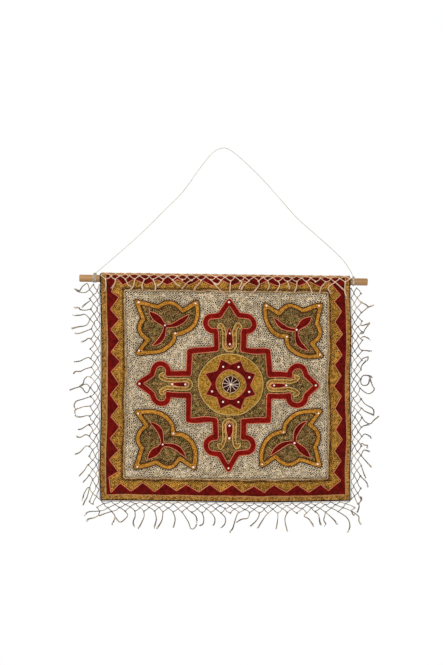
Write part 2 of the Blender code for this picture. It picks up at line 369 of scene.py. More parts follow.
def tube(line, radius, sides=4, reference=(0.0, 1.0, 0.0)):
    """A closed tube round a line. The radius is one number or one for each point."""
    side, over = cross_axes(line, reference)
    turn = 2.0 * np.pi * np.arange(sides) / sides
    width = np.broadcast_to(np.asarray(radius, float), (len(line),))[:, None, None]
    ring = np.cos(turn)[None, :, None] * side[:, None, :] + np.sin(turn)[None, :, None] * over[:, None, :]
    return (line[:, None, :] + width * ring).reshape(-1, 3), skin(len(line), sides)


print("test:", len(tube(np.eye(3), 0.1)[1]), "faces on a tube through three points")

# %% [markdown]
# Twisted yarn is two or three thin tubes that wind round one line. Each ply runs beside the line, and its
# place round it turns steadily with the length passed, so the twist stays even in bends.

# %% Twisted plies
PLY_APART = 0.95


def lengths_along(line):
    """How far along the line each of its points lies."""
    return np.concatenate([[0.0], np.cumsum(np.linalg.norm(np.diff(line, axis=0), axis=1))])


def plied(line, plies, ply_radius, pitch, start=0.0, spread=None):
    """Plies that wind round a line: a list of tubes."""
    side, over = cross_axes(line)
    length = lengths_along(line)
    apart = np.broadcast_to(ply_radius * PLY_APART if spread is None else spread, (len(line),))[:, None]
    made = []
    for ply in range(plies):
        turn = 2.0 * np.pi * (length / pitch + ply / plies) + start
        offset = np.cos(turn)[:, None] * side + np.sin(turn)[:, None] * over
        made.append(tube(line + offset * apart, ply_radius))
    return made


print("test:", len(plied(np.eye(3), 2, 0.01, 0.5)), "plies")

# %% [markdown]
# Most lines are noted as a few points. A smooth curve that passes through each of them, known as a
# Catmull-Rom curve, fills in the rest, and we read it off at even steps. A Blender curve could do it as
# well, but then the places along it would have to be read back from a mesh.

# %% Smooth lines
CURVE_STEPS = 20


def smooth_line(route, count):
    """`count` places read at even steps from a smooth curve through the route's points."""
    route = np.asarray(route, float)
    route = np.vstack([2 * route[0] - route[1], route, 2 * route[-1] - route[-2]])
    t = (np.arange(CURVE_STEPS) / CURVE_STEPS)[:, None]
    fine = []
    for before, start, end, after in zip(route, route[1:], route[2:], route[3:]):
        second = (2 * before - 5 * start + 4 * end - after) * t * t
        third = (3 * start - before - 3 * end + after) * t * t * t
        fine.append(0.5 * (2 * start + (end - before) * t + second + third))
    fine = np.vstack(fine + [route[-2][None, :]])
    return even_steps(fine, count)


def even_steps(line, count):
    """`count` places at even steps along a line."""
    passed = lengths_along(line)
    wanted = np.linspace(0.0, passed[-1], count)
    return np.stack([np.interp(wanted, passed, line[:, axis]) for axis in range(line.shape[1])], axis=1)


print("test:", len(smooth_line(np.eye(3), 9)), "places through three points")

# %% [markdown]
# The string is the one free cord. It is thin cotton of two plies, it rises from the left end of the rod to
# a soft peak, by which the piece hangs, and it comes down to the right end. Its points repeat the
# route of the solid that it replaces. Two thin tubes wound round that route make a real twist, which a
# smooth curve would not show.

# %% Hanging string
STRING_DIAMETER = 0.0016
STRING_PITCH = 0.0062
STRING_PLY = 0.0005
STRING_POINTS = 640
STRING_ROUTE = (
    (-0.3095, -0.3045),
    (-0.3039, -0.2993),
    (-0.2700, -0.2705),
    (-0.2420, -0.2461),
    (-0.1976, -0.2065),
    (-0.1480, -0.1570),
    (-0.0985, -0.1073),
    (-0.0587, -0.0529),
    (-0.0267, -0.0133),
    (0.0000, 0.0000),
    (0.0255, -0.0107),
    (0.0650, -0.0454),
    (0.0998, -0.0801),
    (0.1393, -0.1247),
    (0.1789, -0.1694),
    (0.2235, -0.2090),
    (0.2830, -0.2633),
    (0.3070, -0.2945),
    (0.3158, -0.3129),
)
string_yarn = yarn_material("string_cotton", ((178, 168, 150), (204, 196, 178)), cell=0.003, fibre=4000.0)


def line_length(line):
    return float(np.linalg.norm(np.diff(line, axis=0), axis=1).sum())


def twisted_string(line):
    return plied(line, 2, STRING_PLY, STRING_PITCH, spread=STRING_DIAMETER / 2 - STRING_PLY)


def make_string():
    line = smooth_line([(x, 0.0, z) for x, z in STRING_ROUTE], STRING_POINTS)
    made = Tubes()
    made.add_all(twisted_string(line))
    return made.build("string", string_yarn), line


string, string_line = make_string()
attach(string, "root")
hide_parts("hanging_string")
print("string", round(line_length(string_line), 4), "m")

# %% [markdown]
# At each end the string is wound round the rod and tied. A winding is a helix with one turn beside the
# next, and the knot is a small bundle that crosses it on top, where the string comes up. We take the place
# and the width of the winding from the box of its solid, so the turns sit exactly where that ring sits.

# %% String turns
ROD_RADIUS = 0.00875
ROD_TILT = math.radians(0.754)
TURN_GAP = 0.0003
TURN_PITCH = STRING_DIAMETER * 0.98
TURN_POINTS = 26
TURN_UNEVEN = 0.0002
BUNDLE_RADIUS = 0.0021
BUNDLE_POINTS = 14
BUNDLE_REACH = 0.0030
BUNDLE_SWING = 0.0022
BUNDLE_RISE = 0.0012
BUNDLE_LIFT = 0.0004


def winding_line(low, high):
    """The helix that fills the box of a winding."""
    width = high.x - low.x - STRING_DIAMETER - 2 * ROD_RADIUS * math.sin(ROD_TILT)
    turns = max(3, round(width / TURN_PITCH))
    angle = np.linspace(0.0, 2.0 * np.pi * turns, TURN_POINTS * turns)
    reach = ROD_RADIUS + TURN_GAP + STRING_DIAMETER / 2 + TURN_UNEVEN * np.sin(angle * 0.37)
    along = (low.x + high.x) / 2 + width * (angle / angle[-1] - 0.5)
    axis = (low.z + high.z) / 2 - math.tan(ROD_TILT) * (along - along.mean())
    return np.stack([along, -reach * np.sin(angle), axis + reach * np.cos(angle)], axis=1)


def make_turns(name, solid, lean):
    low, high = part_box(solid)
    made = Tubes()
    made.add_all(twisted_string(winding_line(low, high)))
    part = np.linspace(-1.0, 1.0, BUNDLE_POINTS)
    across = (low.x + high.x) / 2 + (BUNDLE_REACH + lean) * part
    top = (low.z + high.z) / 2 + ROD_RADIUS + TURN_GAP + STRING_DIAMETER + BUNDLE_LIFT
    over = top + BUNDLE_RISE * (1 - part**2)
    bundle = np.stack([across, BUNDLE_SWING * np.sin(3.0 * part), over], axis=1)
    made.add(*tube(bundle, BUNDLE_RADIUS * (1.0 - 0.6 * part**2), 6))
    piece = made.build(name, string_yarn)
    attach(piece, "root")
    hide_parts(solid)
    return piece


turns_left = make_turns("string_turns_left", "string_knot_left", 0.0008)
turns_right = make_turns("string_turns_right", "string_knot_right", -0.0006)
print("windings", turns_left.name, turns_right.name)

# %% [markdown]
# The rod keeps its solid, which is a true round dowel. It only needs wood: long grain along X, a few darker
# streaks, and pores that dull the shine. The grain goes all the way through, so the cut ends show it as
# fine dots.

# %% Wood
GRAIN_STRETCH = (9.0, 260.0, 260.0)
STREAK_DARK = (0.62, 0.56, 0.52, 1.0)
STREAK_SHARE = 0.55
PORE_ROUGHNESS = {"To Min": 0.42, "To Max": 0.72}


def wood_material():
    made, tree, shader = new_material("rod_wood", 0.55, 0.0, 0.3)
    place = node(tree, "ShaderNodeTexCoord", (-1200, 0))
    stretch = node(tree, "ShaderNodeMapping", (-1000, 0), Scale=GRAIN_STRETCH)
    grain = node(tree, "ShaderNodeTexNoise", (-800, 120), Scale=1.0, Detail=6.0, Roughness=0.65)
    streaks = node(tree, "ShaderNodeTexNoise", (-800, -120), Scale=0.35, Detail=3.0, Distortion=0.8)
    ramp = node(tree, "ShaderNodeValToRGB", (-560, 120))
    set_ramp(ramp, [screen(*shade) for shade in ((128, 90, 52), (168, 128, 84), (188, 150, 106))])
    dark = node(tree, "ShaderNodeValToRGB", (-560, -150))
    set_ramp(dark, [STREAK_DARK, WHITE])
    tint = node(
        tree, "ShaderNodeMix", (-260, 80), data_type="RGBA", blend_type="MULTIPLY", Factor=STREAK_SHARE
    )
    dull = node(tree, "ShaderNodeMapRange", (-260, -160), **PORE_ROUGHNESS)
    bump = node(tree, "ShaderNodeBump", (-260, -380), Strength=0.35, Distance=0.0004)
    connect(
        tree,
        (place, "Object", stretch, "Vector"),
        (stretch, "Vector", grain, "Vector"),
        (stretch, "Vector", streaks, "Vector"),
        (grain, "Fac", ramp, "Fac"),
        (streaks, "Fac", dark, "Fac"),
        (ramp, "Color", tint, "A"),
        (dark, "Color", tint, "B"),
        (tint, "Result", shader, "Base Color"),
        (grain, "Fac", dull, "Value"),
        (dull, "Result", shader, "Roughness"),
        (grain, "Fac", bump, "Height"),
        (bump, "Normal", shader, "Normal"),
    )
    return made


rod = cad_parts["rod"]
rod.data.materials.clear()
rod.data.materials.append(wood_material())

# %% [markdown]
# Everything sewn to the cloth lies on one surface, so we describe that surface once. As in the photograph
# its sides wander, its lower side sags, and its face billows a little. A few slow waves give these shapes,
# and their heights are named in metres.

# %% The hanging sheet
CLOTH_LEFT = -0.298
CLOTH_RIGHT = 0.3095
CLOTH_BOTTOM = -0.8545
ROD_CENTRE_X = 0.0012
ROD_CENTRE_Z = -0.3206
FRONT_HEIGHT = ROD_CENTRE_Z - CLOTH_BOTTOM
CLOTH_WIDTH = CLOTH_RIGHT - CLOTH_LEFT
SOLID_THICKNESS = 0.0024
ROD_ROOM = 0.0005
WRAP_RADIUS = ROD_RADIUS + ROD_ROOM + SOLID_THICKNESS / 2
LEFT_WANDER = 0.0034
RIGHT_WANDER = 0.0015
CORNER_TUCK = 0.0036
SWELL = 0.0020
RIPPLE = 0.0011
CORNER_CURL = 0.0035
HEM_SAG = 0.0042


def smooth_step(value):
    value = np.clip(value, 0.0, 1.0)
    return value * value * (3.0 - 2.0 * value)


def rod_z(x):
    return ROD_CENTRE_Z - math.tan(ROD_TILT) * (x - ROD_CENTRE_X)


def side_edges(z):
    """Where the left and right sides of the cloth hang at a height."""
    drop = (z - ROD_CENTRE_Z) / (CLOTH_BOTTOM - ROD_CENTRE_Z)
    corner = CORNER_TUCK * smooth_step((drop - 0.85) / 0.15)
    left = CLOTH_LEFT + LEFT_WANDER * np.sin(1.33 * np.pi * drop) + corner
    right = CLOTH_RIGHT + RIGHT_WANDER * np.sin(4.6 * np.pi * drop - 2.19)
    return left, right


def billow(across, drop):
    """How far the cloth stands off its plane."""
    fade = smooth_step((drop - 0.055) / 0.300)
    swell = SWELL * np.sin(2.0 * np.pi * (1.15 * across + 0.08))
    ripple = RIPPLE * np.sin(2.0 * np.pi * (2.6 * across + 1.4 * drop + 0.3))
    corners = CORNER_CURL * (2.0 * across - 1.0) ** 4 * smooth_step((drop - 0.35) / 0.20)
    return fade * (swell + ripple) - corners


def sheet_point(across, up):
    """A place midway through the hanging cloth: up is 0 at the lower hem and 1 at the rod's height."""
    across = np.asarray(across, float)
    x = CLOTH_LEFT + CLOTH_WIDTH * across
    low = CLOTH_BOTTOM - HEM_SAG * np.sin(np.pi * np.clip(across, 0.0, 1.0) ** 1.6)
    z = low + (rod_z(x) - low) * up
    left, right = side_edges(z)
    x = left + (right - left) * across
    return np.stack([x, billow(across, rod_z(x) - z) - WRAP_RADIUS, z], axis=-1)


print("flat cloth", CLOTH_WIDTH, "by", FRONT_HEIGHT, "to the rod's height")

# %% [markdown]
# Flat places on the cloth are (x, z) as if it hung perfectly straight, and `on_cloth` bends them as it
# really hangs. Above the rod's height the cloth turns over the rod, and because it is stiff it stands a
# little off the crown. A lift moves a place in front of the cloth's middle, and a negative one behind it.

# %% Places on the cloth
CROWN_LOFT = 0.0016
LOFT_RISE = 1.1
LOFT_END = 2.6
LOFT_FALL = 0.9


def loft(angle):
    """How far the stiff cloth stands off the rod as it turns over it."""
    return CROWN_LOFT * smooth_step(angle / LOFT_RISE) * smooth_step((LOFT_END - angle) / LOFT_FALL)


def on_cloth(x, z, lift):
    """World places of flat places on the cloth."""
    across = (np.asarray(x, float) - CLOTH_LEFT) / CLOTH_WIDTH
    up = (np.asarray(z, float) - CLOTH_BOTTOM) / FRONT_HEIGHT
    base = sheet_point(across, np.minimum(up, 1.0))
    turned = np.maximum(up - 1.0, 0.0) * FRONT_HEIGHT / WRAP_RADIUS
    radius = WRAP_RADIUS + lift + loft(turned)
    y = base[..., 1] + WRAP_RADIUS - radius * np.cos(turned)
    return np.stack([base[..., 0], y, base[..., 2] + radius * np.sin(turned)], axis=-1)


print("test:", on_cloth(0.0, CLOTH_BOTTOM, 0.0).round(4), "is at the lower hem")

# %% [markdown]
# The ground of the embroidery is plain dark cotton, which shows between the stitches and on the hem. Fine
# threads over and under each other come from two waves in the material, one for each set of threads.

# %% Woven cotton
WEAVE_THREAD = 0.0009
GROUND_SHADES = ((14, 9, 6), (26, 18, 12), (40, 30, 20))


def weave_material(name, shades, thread):
    """Plain weave: two sets of threads that pass over and under each other."""
    made, tree, shader = new_material(name, 0.9, 0.01)
    place = node(tree, "ShaderNodeTexCoord", (-1200, 0))
    threads = {"Scale": math.pi / (10.0 * thread), "Distortion": 0.4}
    warp = node(tree, "ShaderNodeTexWave", (-900, 150), bands_direction="X", **threads)
    weft = node(tree, "ShaderNodeTexWave", (-900, -150), bands_direction="Z", **threads)
    both = node(tree, "ShaderNodeMath", (-650, 0), operation="MULTIPLY")
    cloud = node(tree, "ShaderNodeTexNoise", (-900, -420), Scale=45.0, Detail=3.0)
    mixed = node(tree, "ShaderNodeMath", (-450, -150), operation="MULTIPLY_ADD")
    mixed.inputs[1].default_value = 0.5
    ramp = node(tree, "ShaderNodeValToRGB", (-260, 0))
    set_ramp(ramp, [screen(*shade) for shade in shades])
    bump = node(tree, "ShaderNodeBump", (-260, -300), Strength=0.5, Distance=0.0002)
    connect(
        tree,
        (place, "Object", warp, "Vector"),
        (place, "Object", weft, "Vector"),
        (place, "Object", cloud, "Vector"),
        (warp, "Fac", both, 0),
        (weft, "Fac", both, 1),
        (both, 0, mixed, 0),
        (cloud, "Fac", mixed, 2),
        (mixed, 0, ramp, "Fac"),
        (ramp, "Color", shader, "Base Color"),
        (both, 0, bump, "Height"),
        (bump, "Normal", shader, "Normal"),
    )
    return made


ground_cotton = weave_material("ground_cotton", GROUND_SHADES, WEAVE_THREAD)
print("threads", WEAVE_THREAD * 1000, "mm apart")

# %% [markdown]
# The ground is one sheet that comes up the front, goes over the rod, and is turned down behind it as a hem.
# It could be simulated, but its hang is already known, so a grid laid on that surface and a Solidify
# modifier are exact and quick.

# %% Ground cloth
GROUND_THICKNESS = 0.0012
HEM_JOIN = 0.030
HEM_DEPTH = 0.042
LAYER_GAP = 0.0006
GROUND_COLUMNS = 64
GROUND_ROWS = 60
OVER_ROD_ROWS = 14
HEM_ROWS = 5


def hem_path():
    """The way over and behind the rod, as (y, height above its axis)."""
    inner_y = -WRAP_RADIUS + SOLID_THICKNESS + LAYER_GAP
    reach = math.hypot(inner_y, HEM_JOIN)
    turn = math.pi - math.atan2(-HEM_JOIN, inner_y) - math.acos(WRAP_RADIUS / reach)
    angles = turn * np.arange(1, OVER_ROD_ROWS + 1) / OVER_ROD_ROWS
    radii = [WRAP_RADIUS + loft(angle) for angle in angles]
    path = [(-radius * math.cos(angle), radius * math.sin(angle)) for radius, angle in zip(radii, angles)]
    start_y, start_z = path[-1]
    for step in range(1, HEM_ROWS + 1):
        part = step / HEM_ROWS
        path.append((start_y + (inner_y - start_y) * part, start_z + (-HEM_JOIN - start_z) * part))
    path.append((inner_y, -HEM_DEPTH))
    return path


def make_ground():
    across = np.linspace(0.0, 1.0, GROUND_COLUMNS + 1)
    rows = [sheet_point(across, up) for up in np.linspace(0.0, 1.0, GROUND_ROWS + 1)]
    top = rows[-1]
    for y, height in hem_path():
        x = top[:, 0]
        rows.append(np.stack([x, np.full_like(x, y), rod_z(x) + height], axis=-1))
    bm = bmesh.new()
    lines = [[bm.verts.new(point) for point in row] for row in rows]
    for lower, upper in zip(lines, lines[1:]):
        for column in range(GROUND_COLUMNS):
            bm.faces.new((lower[column], lower[column + 1], upper[column + 1], upper[column]))
    data = bpy.data.meshes.new("ground_cloth")
    bm.to_mesh(data)
    bm.free()
    data.shade_smooth()
    data.materials.append(ground_cotton)
    ground = bpy.data.objects.new("ground_cloth", data)
    bpy.context.scene.collection.objects.link(ground)
    solidify = ground.modifiers.new("thickness", "SOLIDIFY")
    solidify.thickness = GROUND_THICKNESS
    solidify.offset = 0.0
    solidify.use_even_offset = True
    return ground, rows


ground, ground_rows = make_ground()
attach(ground, "root")
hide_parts("cloth")

# %% [markdown]
# The embroiderer draws the design on the cloth and then fills it with rows of chain stitch that echo its
# outlines. We do the same. A grid of places one millimetre apart covers the flat cloth, and a slow wobble
# of the grid, by up to a millimetre and a half or so, stands for the hand that drew the lines.

# %% Drawing board
GRID_STEP = 0.001
TOP_EDGE = ROD_CENTRE_Z + 0.026
BOARD_MARGIN = 0.003
WOBBLE = 0.0015
WAVES = 4
WAVE_LENGTHS = (0.045, 0.140)
WAVES_PEAK = 2.4

board_x = np.arange(CLOTH_LEFT - BOARD_MARGIN, CLOTH_RIGHT + BOARD_MARGIN, GRID_STEP)
board_z = np.arange(CLOTH_BOTTOM - BOARD_MARGIN, TOP_EDGE + BOARD_MARGIN, GRID_STEP)
GX, GZ = np.meshgrid(board_x, board_z)


def wobble(x, z, seed):
    """A slow wave with no plain rhythm, from minus one to one."""
    drawn = random.Random(seed)
    total = np.zeros_like(x)
    for _ in range(WAVES):
        lean = drawn.uniform(0.0, math.pi)
        wave = drawn.uniform(*WAVE_LENGTHS)
        phase = drawn.uniform(0.0, 2.0 * math.pi)
        total = total + np.sin(2.0 * np.pi * (x * math.cos(lean) + z * math.sin(lean)) / wave + phase)
    return total / WAVES_PEAK


DRAWN_X = GX + WOBBLE * wobble(GX, GZ, 3)
DRAWN_Z = GZ + WOBBLE * wobble(GX, GZ, 4)


print("drawing board", GX.shape)

# %% [markdown]
# For each shape we work out how far every place of the board lies from its outline: plus inside, minus
# outside. An outline is a closed run of short straight pieces, so the distance is the least of those to its
# pieces. A place is inside when a straight way out to its right crosses the outline an odd number of times.

# %% Depth of a shape
FAR = 0.060


def window(points, reach):
    """The part of the board that lies within reach of some points."""
    xs, zs = zip(*points)
    columns = slice(*np.searchsorted(board_x, (min(xs) - reach, max(xs) + reach)))
    rows = slice(*np.searchsorted(board_z, (min(zs) - reach, max(zs) + reach)))
    return rows, columns


def line_distance(points, closed=False, reach=FAR):
    """How far each place of the board lies from a line."""
    area = window(points, reach)
    x, z = DRAWN_X[area], DRAWN_Z[area]
    near = np.full(x.shape, reach * reach)
    ends = list(points[1:]) + (list(points[:1]) if closed else [])
    for (ax, az), (bx, bz) in zip(points, ends):
        run_x, run_z = bx - ax, bz - az
        part = ((x - ax) * run_x + (z - az) * run_z) / max(run_x * run_x + run_z * run_z, 1e-12)
        part = np.clip(part, 0.0, 1.0)
        near = np.minimum(near, (x - ax - part * run_x) ** 2 + (z - az - part * run_z) ** 2)
    found = np.full(GX.shape, reach)
    found[area] = np.sqrt(near)
    return found


def shape_depth(points, reach=FAR):
    """How deep each place lies inside a closed outline, and minus how far outside it."""
    area = window(points, reach)
    x, z = DRAWN_X[area], DRAWN_Z[area]
    inside = np.zeros(x.shape, bool)
    for (ax, az), (bx, bz) in zip(points, list(points[1:]) + list(points[:1])):
        if az != bz:
            inside ^= ((az > z) != (bz > z)) & (x < (bx - ax) * (z - az) / (bz - az) + ax)
    sign = np.full(GX.shape, -1.0)
    sign[area] = np.where(inside, 1.0, -1.0)
    return sign * line_distance(points, True, reach)


def curve(points, steps):
    """A smooth run through a few points of an outline."""
    return [tuple(point) for point in smooth_line(points, steps * (len(points) - 1) + 1)]


def arc(centre, radius, start, end, steps=14):
    angles = np.radians(np.linspace(start, end, steps))
    return [(centre[0] + radius * math.cos(a), centre[1] + radius * math.sin(a)) for a in angles]


test_disc = arc((0.0, -0.6), 0.02, 0.0, 330.0, 12)
print("test: a disc is", round(float(shape_depth(test_disc).max()), 3), "m deep")

# %% [markdown]
# The border has four bands on each side: a dark edge, an ochre band, a maroon band, and a speckled ochre
# band whose outer line is a zigzag that bites into the maroon. Its corners end in blunt tips. The widths
# are given side by side, because a hand-worked border is never the same all round.

# %% Border
DARK_EDGE = {"left": 0.0028, "right": 0.0026, "bottom": 0.0028, "top": 0.0020}
OCHRE_BAND = {"left": 0.0155, "right": 0.0124, "bottom": 0.0150, "top": 0.0178}
OUTER_TIPS = {"left": 0.0234, "right": 0.0216, "bottom": 0.0230, "top": 0.0272}
INNER_TIPS = {"left": 0.0455, "right": 0.0390, "bottom": 0.0420, "top": 0.0400}
FIELD_EDGE = {"left": 0.0612, "right": 0.0560, "bottom": 0.0560, "top": 0.0550}
TIP_RUNS = {
    "left": (-0.783, -0.366, 9),
    "right": (-0.783, -0.370, 9),
    "bottom": (-0.2475, 0.2350, 10),
    "top": (-0.2420, 0.2390, 10),
}
TIP_UNEVEN = 0.0022
DARK_ROW = 0.0052
BAND_WOBBLE = 0.4


def inset_box(widths):
    return (
        CLOTH_LEFT + widths["left"],
        CLOTH_RIGHT - widths["right"],
        CLOTH_BOTTOM + widths["bottom"],
        TOP_EDGE - widths["top"],
    )


def box_depth(widths, drawn=True):
    left, right, bottom, top = inset_box(widths)
    x, z = (DRAWN_X, DRAWN_Z) if drawn else (GX, GZ)
    return np.minimum(np.minimum(x - left, right - x), np.minimum(z - bottom, top - z))


def zigzag():
    """The zigzag line, clockwise from the lower left corner. Two given points blunt each corner."""
    left, right, bottom, top = inset_box(FIELD_EDGE)
    out_left, out_right, out_bottom, out_top = inset_box(OUTER_TIPS)
    in_left, in_right, in_bottom, in_top = inset_box(INNER_TIPS)
    drawn = random.Random(21)

    def run(side, inner, outer):
        first, last, count = TIP_RUNS[side]
        pitch = (last - first) / (count - 1)
        made = []
        for tip in range(2 * count - 1):
            at = first + pitch * tip / 2 + drawn.uniform(-TIP_UNEVEN, TIP_UNEVEN)
            made.append((at, (outer if tip % 2 else inner) + drawn.uniform(-TIP_UNEVEN, TIP_UNEVEN) / 2))
        return made

    points = [(out_left + 0.003, out_bottom - 0.003), (out_left - 0.0015, bottom)]
    points += [(x, z) for z, x in run("left", in_left, out_left)]
    points += [(out_left + 0.003, top - 0.003), (left - 0.018, out_top + 0.001)]
    points += run("top", in_top, out_top)
    points += [(right + 0.008, out_top), (out_right - 0.001, top - 0.004)]
    points += [(x, z) for z, x in reversed(run("right", in_right, out_right))]
    points += [(out_right - 0.001, bottom - 0.006), (right + 0.002, out_bottom + 0.002)]
    points += reversed(run("bottom", in_bottom, out_bottom))
    return points


edge_depth = box_depth(DARK_EDGE, drawn=False)
straight_band = box_depth(OCHRE_BAND, drawn=False)
band_depth = straight_band + BAND_WOBBLE * (box_depth(OCHRE_BAND) - straight_band)
zigzag_depth = shape_depth(zigzag(), 0.04)
field_depth = box_depth(FIELD_EDGE)
print("border tips", sum(count for _, _, count in TIP_RUNS.values()))

# %% [markdown]
# The large cross stands on a stepped square, whose corners are all a little off. Each of its four arms has
# a straight stem, a round lobe on either side and a pointed end. One function draws an arm that points
# along u, with v to its left, and the four arms are that one drawing turned round the centre, each with its
# own length.

# %% Cross
CENTRE = (0.0145, -0.5730)
SQUARE_HALF = (0.0985, 0.0855)
SQUARE_CORNERS = {
    "up": (0.0920, 0.0800),
    "right": (0.0925, -0.0852),
    "down": (-0.0990, -0.0850),
    "left": (-0.0978, 0.0812),
}
ARMS = {
    "up": {"turn": 90.0, "length": 0.201, "stem": 0.0340, "lobe": (0.148, 0.0388), "tip": (0.1675, 0.0225)},
    "right": {"turn": 0.0, "length": 0.213, "stem": 0.0262, "lobe": (0.165, 0.029), "tip": (0.1865, 0.025)},
    "down": {"turn": 270.0, "length": 0.202, "stem": 0.0345, "lobe": (0.145, 0.0388), "tip": (0.165, 0.0225)},
    "left": {"turn": 180.0, "length": 0.221, "stem": 0.0262, "lobe": (0.168, 0.029), "tip": (0.189, 0.025)},
}
LOBE_RADIUS = 0.0192
RED_HALF = 0.0066


def turned(points, angle):
    """Moves points from an arm's own u and v to the flat cloth."""
    cos, sin = math.cos(math.radians(angle)), math.sin(math.radians(angle))
    return [(CENTRE[0] + u * cos - v * sin, CENTRE[1] + u * sin + v * cos) for u, v in points]


def arm_outline(facts):
    """One arm from the left side of its root to its tip and back on the right side."""
    root = SQUARE_HALF[0] if facts["turn"] in (0.0, 180.0) else SQUARE_HALF[1]
    lobe_u, lobe_v = facts["lobe"]
    half = [(root, facts["stem"]), (lobe_u - LOBE_RADIUS - 0.006, facts["stem"] - 0.001)]
    half += arc((lobe_u, lobe_v), LOBE_RADIUS, 196.0, 22.0)
    half.append(facts["tip"])
    other = [(u, -v) for u, v in reversed(half)]
    return half + [(facts["length"], 0.0)] + other


def cross_outline():
    points = []
    for name, facts in ARMS.items():
        points += turned(arm_outline(facts), facts["turn"])
        corner_x, corner_z = SQUARE_CORNERS[name]
        points.append((CENTRE[0] + corner_x, CENTRE[1] + corner_z))
    return points


cross_depth = shape_depth(cross_outline())
print("cross of", len(cross_outline()), "points")

# %% [markdown]
# Inside each arm lies a loop like a keyhole, open at the far end, where its two ends flare and curl. It
# holds a slim maroon drop. Both are drawn along the arm as well, so the same turn puts them in place.

# %% Loops and drops
LOOPS = {
    "up": {"near": 0.0800, "far": 0.145, "half": 0.0136, "flare": 0.0235, "drop": (0.09, 0.138, 0.0082)},
    "right": {"near": 0.0920, "far": 0.166, "half": 0.0106, "flare": 0.0215, "drop": (0.101, 0.142, 0.006)},
    "down": {"near": 0.0800, "far": 0.150, "half": 0.0136, "flare": 0.0235, "drop": (0.09, 0.131, 0.0078)},
    "left": {"near": 0.0895, "far": 0.168, "half": 0.0106, "flare": 0.0215, "drop": (0.099, 0.142, 0.006)},
}
LOOP_BAND = 0.0039


def loop_line(facts):
    near = facts["near"] + LOOP_BAND
    half, flare, far = facts["half"], facts["flare"], facts["far"]
    side = curve([(far - 0.006, flare + 0.001), (far, flare - 0.003), (far - 0.006, half + 0.002)], 5)
    side += [(far - 0.018, half - 0.0020)]
    side += arc((near + half, 0.0), half, 100.0, 180.0, 8)
    return side + [(u, -v) for u, v in reversed(side[:-1])]


def leaf(start, end, widest, bend=0.0, full=0.5, steps=12, neck=0.0):
    """The outline of a leaf or drop between two points, bent to its left, widest at `full`.

    The neck is half its least width in the first half, where a petal joins its neighbours."""
    run = (end[0] - start[0], end[1] - start[1])
    length = math.hypot(*run)
    along, left = (run[0] / length, run[1] / length), (-run[1] / length, run[0] / length)
    power = math.log(0.5) / math.log(full)
    sides = ([], [])
    for step in range(steps + 1):
        part = step / steps
        swell = widest * math.sin(math.pi * part**power) ** 0.8 if 0 < step < steps else 0.0
        swell = max(swell, neck) if part < 0.5 else swell
        bow = bend * math.sin(math.pi * part)
        for sign, side in ((1, sides[0]), (-1, sides[1])):
            off = bow + sign * swell
            u = start[0] + along[0] * length * part + left[0] * off
            side.append((u, start[1] + along[1] * length * part + left[1] * off))
    return sides[0] + sides[1][-2 : None if neck else 0 : -1]


loop_distance = np.full(GX.shape, FAR)
drop_depth = np.full(GX.shape, -FAR)
for name, facts in LOOPS.items():
    turn = ARMS[name]["turn"]
    loop_distance = np.minimum(loop_distance, line_distance(turned(loop_line(facts), turn), reach=0.03))
    start, end, widest = facts["drop"]
    drop = leaf((start, 0.0), (end, 0.0), widest, full=0.36)
    drop_depth = np.maximum(drop_depth, shape_depth(turned(drop, turn), 0.02))
print("loops", len(LOOPS))

# %% [markdown]
# The medallion is a disc with an eight-pointed star, a ring and a wheel with eleven spokes, all round one
# centre and a little wider than tall. Circles and the star come from formulas.

# %% Medallion
MEDALLION = (0.0178, -0.5716)
DISC_RADIUS = 0.0790
MEDALLION_FLAT = 0.93
STAR_FLAT = 0.98
STAR_POINT = 0.0664
STAR_VALLEY = 0.0484
STAR_UNEVEN = 0.0018
STAR_TIPS = 8
RING_RADIUS = 0.0362
WHEEL_RADIUS = 0.0205
SPOKES = 11


def round_depth(radius):
    """How deep each place lies inside the medallion's round of a radius."""
    return radius - np.hypot(DRAWN_X - MEDALLION[0], (DRAWN_Z - MEDALLION[1]) / MEDALLION_FLAT)


def star_outline():
    drawn = random.Random(8)
    points = []
    for corner in range(2 * STAR_TIPS):
        angle = math.pi * (corner + 1) / STAR_TIPS
        radius = STAR_VALLEY if corner % 2 else STAR_POINT
        radius += drawn.uniform(-STAR_UNEVEN, STAR_UNEVEN)
        z = MEDALLION[1] + radius * math.sin(angle) * STAR_FLAT
        points.append((MEDALLION[0] + radius * math.cos(angle), z))
    return points


disc_depth = round_depth(DISC_RADIUS)
star_depth = shape_depth(star_outline(), 0.03)
ring_depth = round_depth(RING_RADIUS)
wheel_depth = round_depth(WHEEL_RADIUS)
print("star of", len(star_outline()), "corners")

# %% [markdown]
# A palmette fills each corner of the field. It is drawn once in a unit square, with its sharp tip in the
# corner, two side tips, a wavy outer side and full inner lobes that meet in a notch. The drawing is its own
# mirror image about the diagonal, so half of it is enough. Three maroon petals grow from one point.

# %% Palmettes
PALMETTES = {
    "upper_left": {"corner": (-0.2087, -0.3752), "size": (0.1446, -0.1215), "sprig": (0.0, 0.0)},
    "upper_right": {"corner": (0.2364, -0.3785), "size": (-0.1335, -0.1238), "sprig": (-0.01, 0.02)},
    "lower_left": {"corner": (-0.2099, -0.7745), "size": (0.1420, 0.1335), "sprig": (-0.01, -0.045)},
    "lower_right": {"corner": (0.2335, -0.7656), "size": (-0.1403, 0.1286), "sprig": (-0.02, -0.048)},
}
PALMETTE_BAND = 0.0055
PETAL_ROOT = (0.458, 0.466)
PETALS = (
    {"tip": (0.196, 0.192), "widest": 0.0088, "bend": 0.0, "full": 0.52, "neck": 0.0052},
    {"tip": (0.866, 0.232), "widest": 0.0060, "bend": -0.0100, "full": 0.55, "neck": 0.0036},
    {"tip": (0.238, 0.866), "widest": 0.0060, "bend": 0.0104, "full": 0.55, "neck": 0.0036},
)


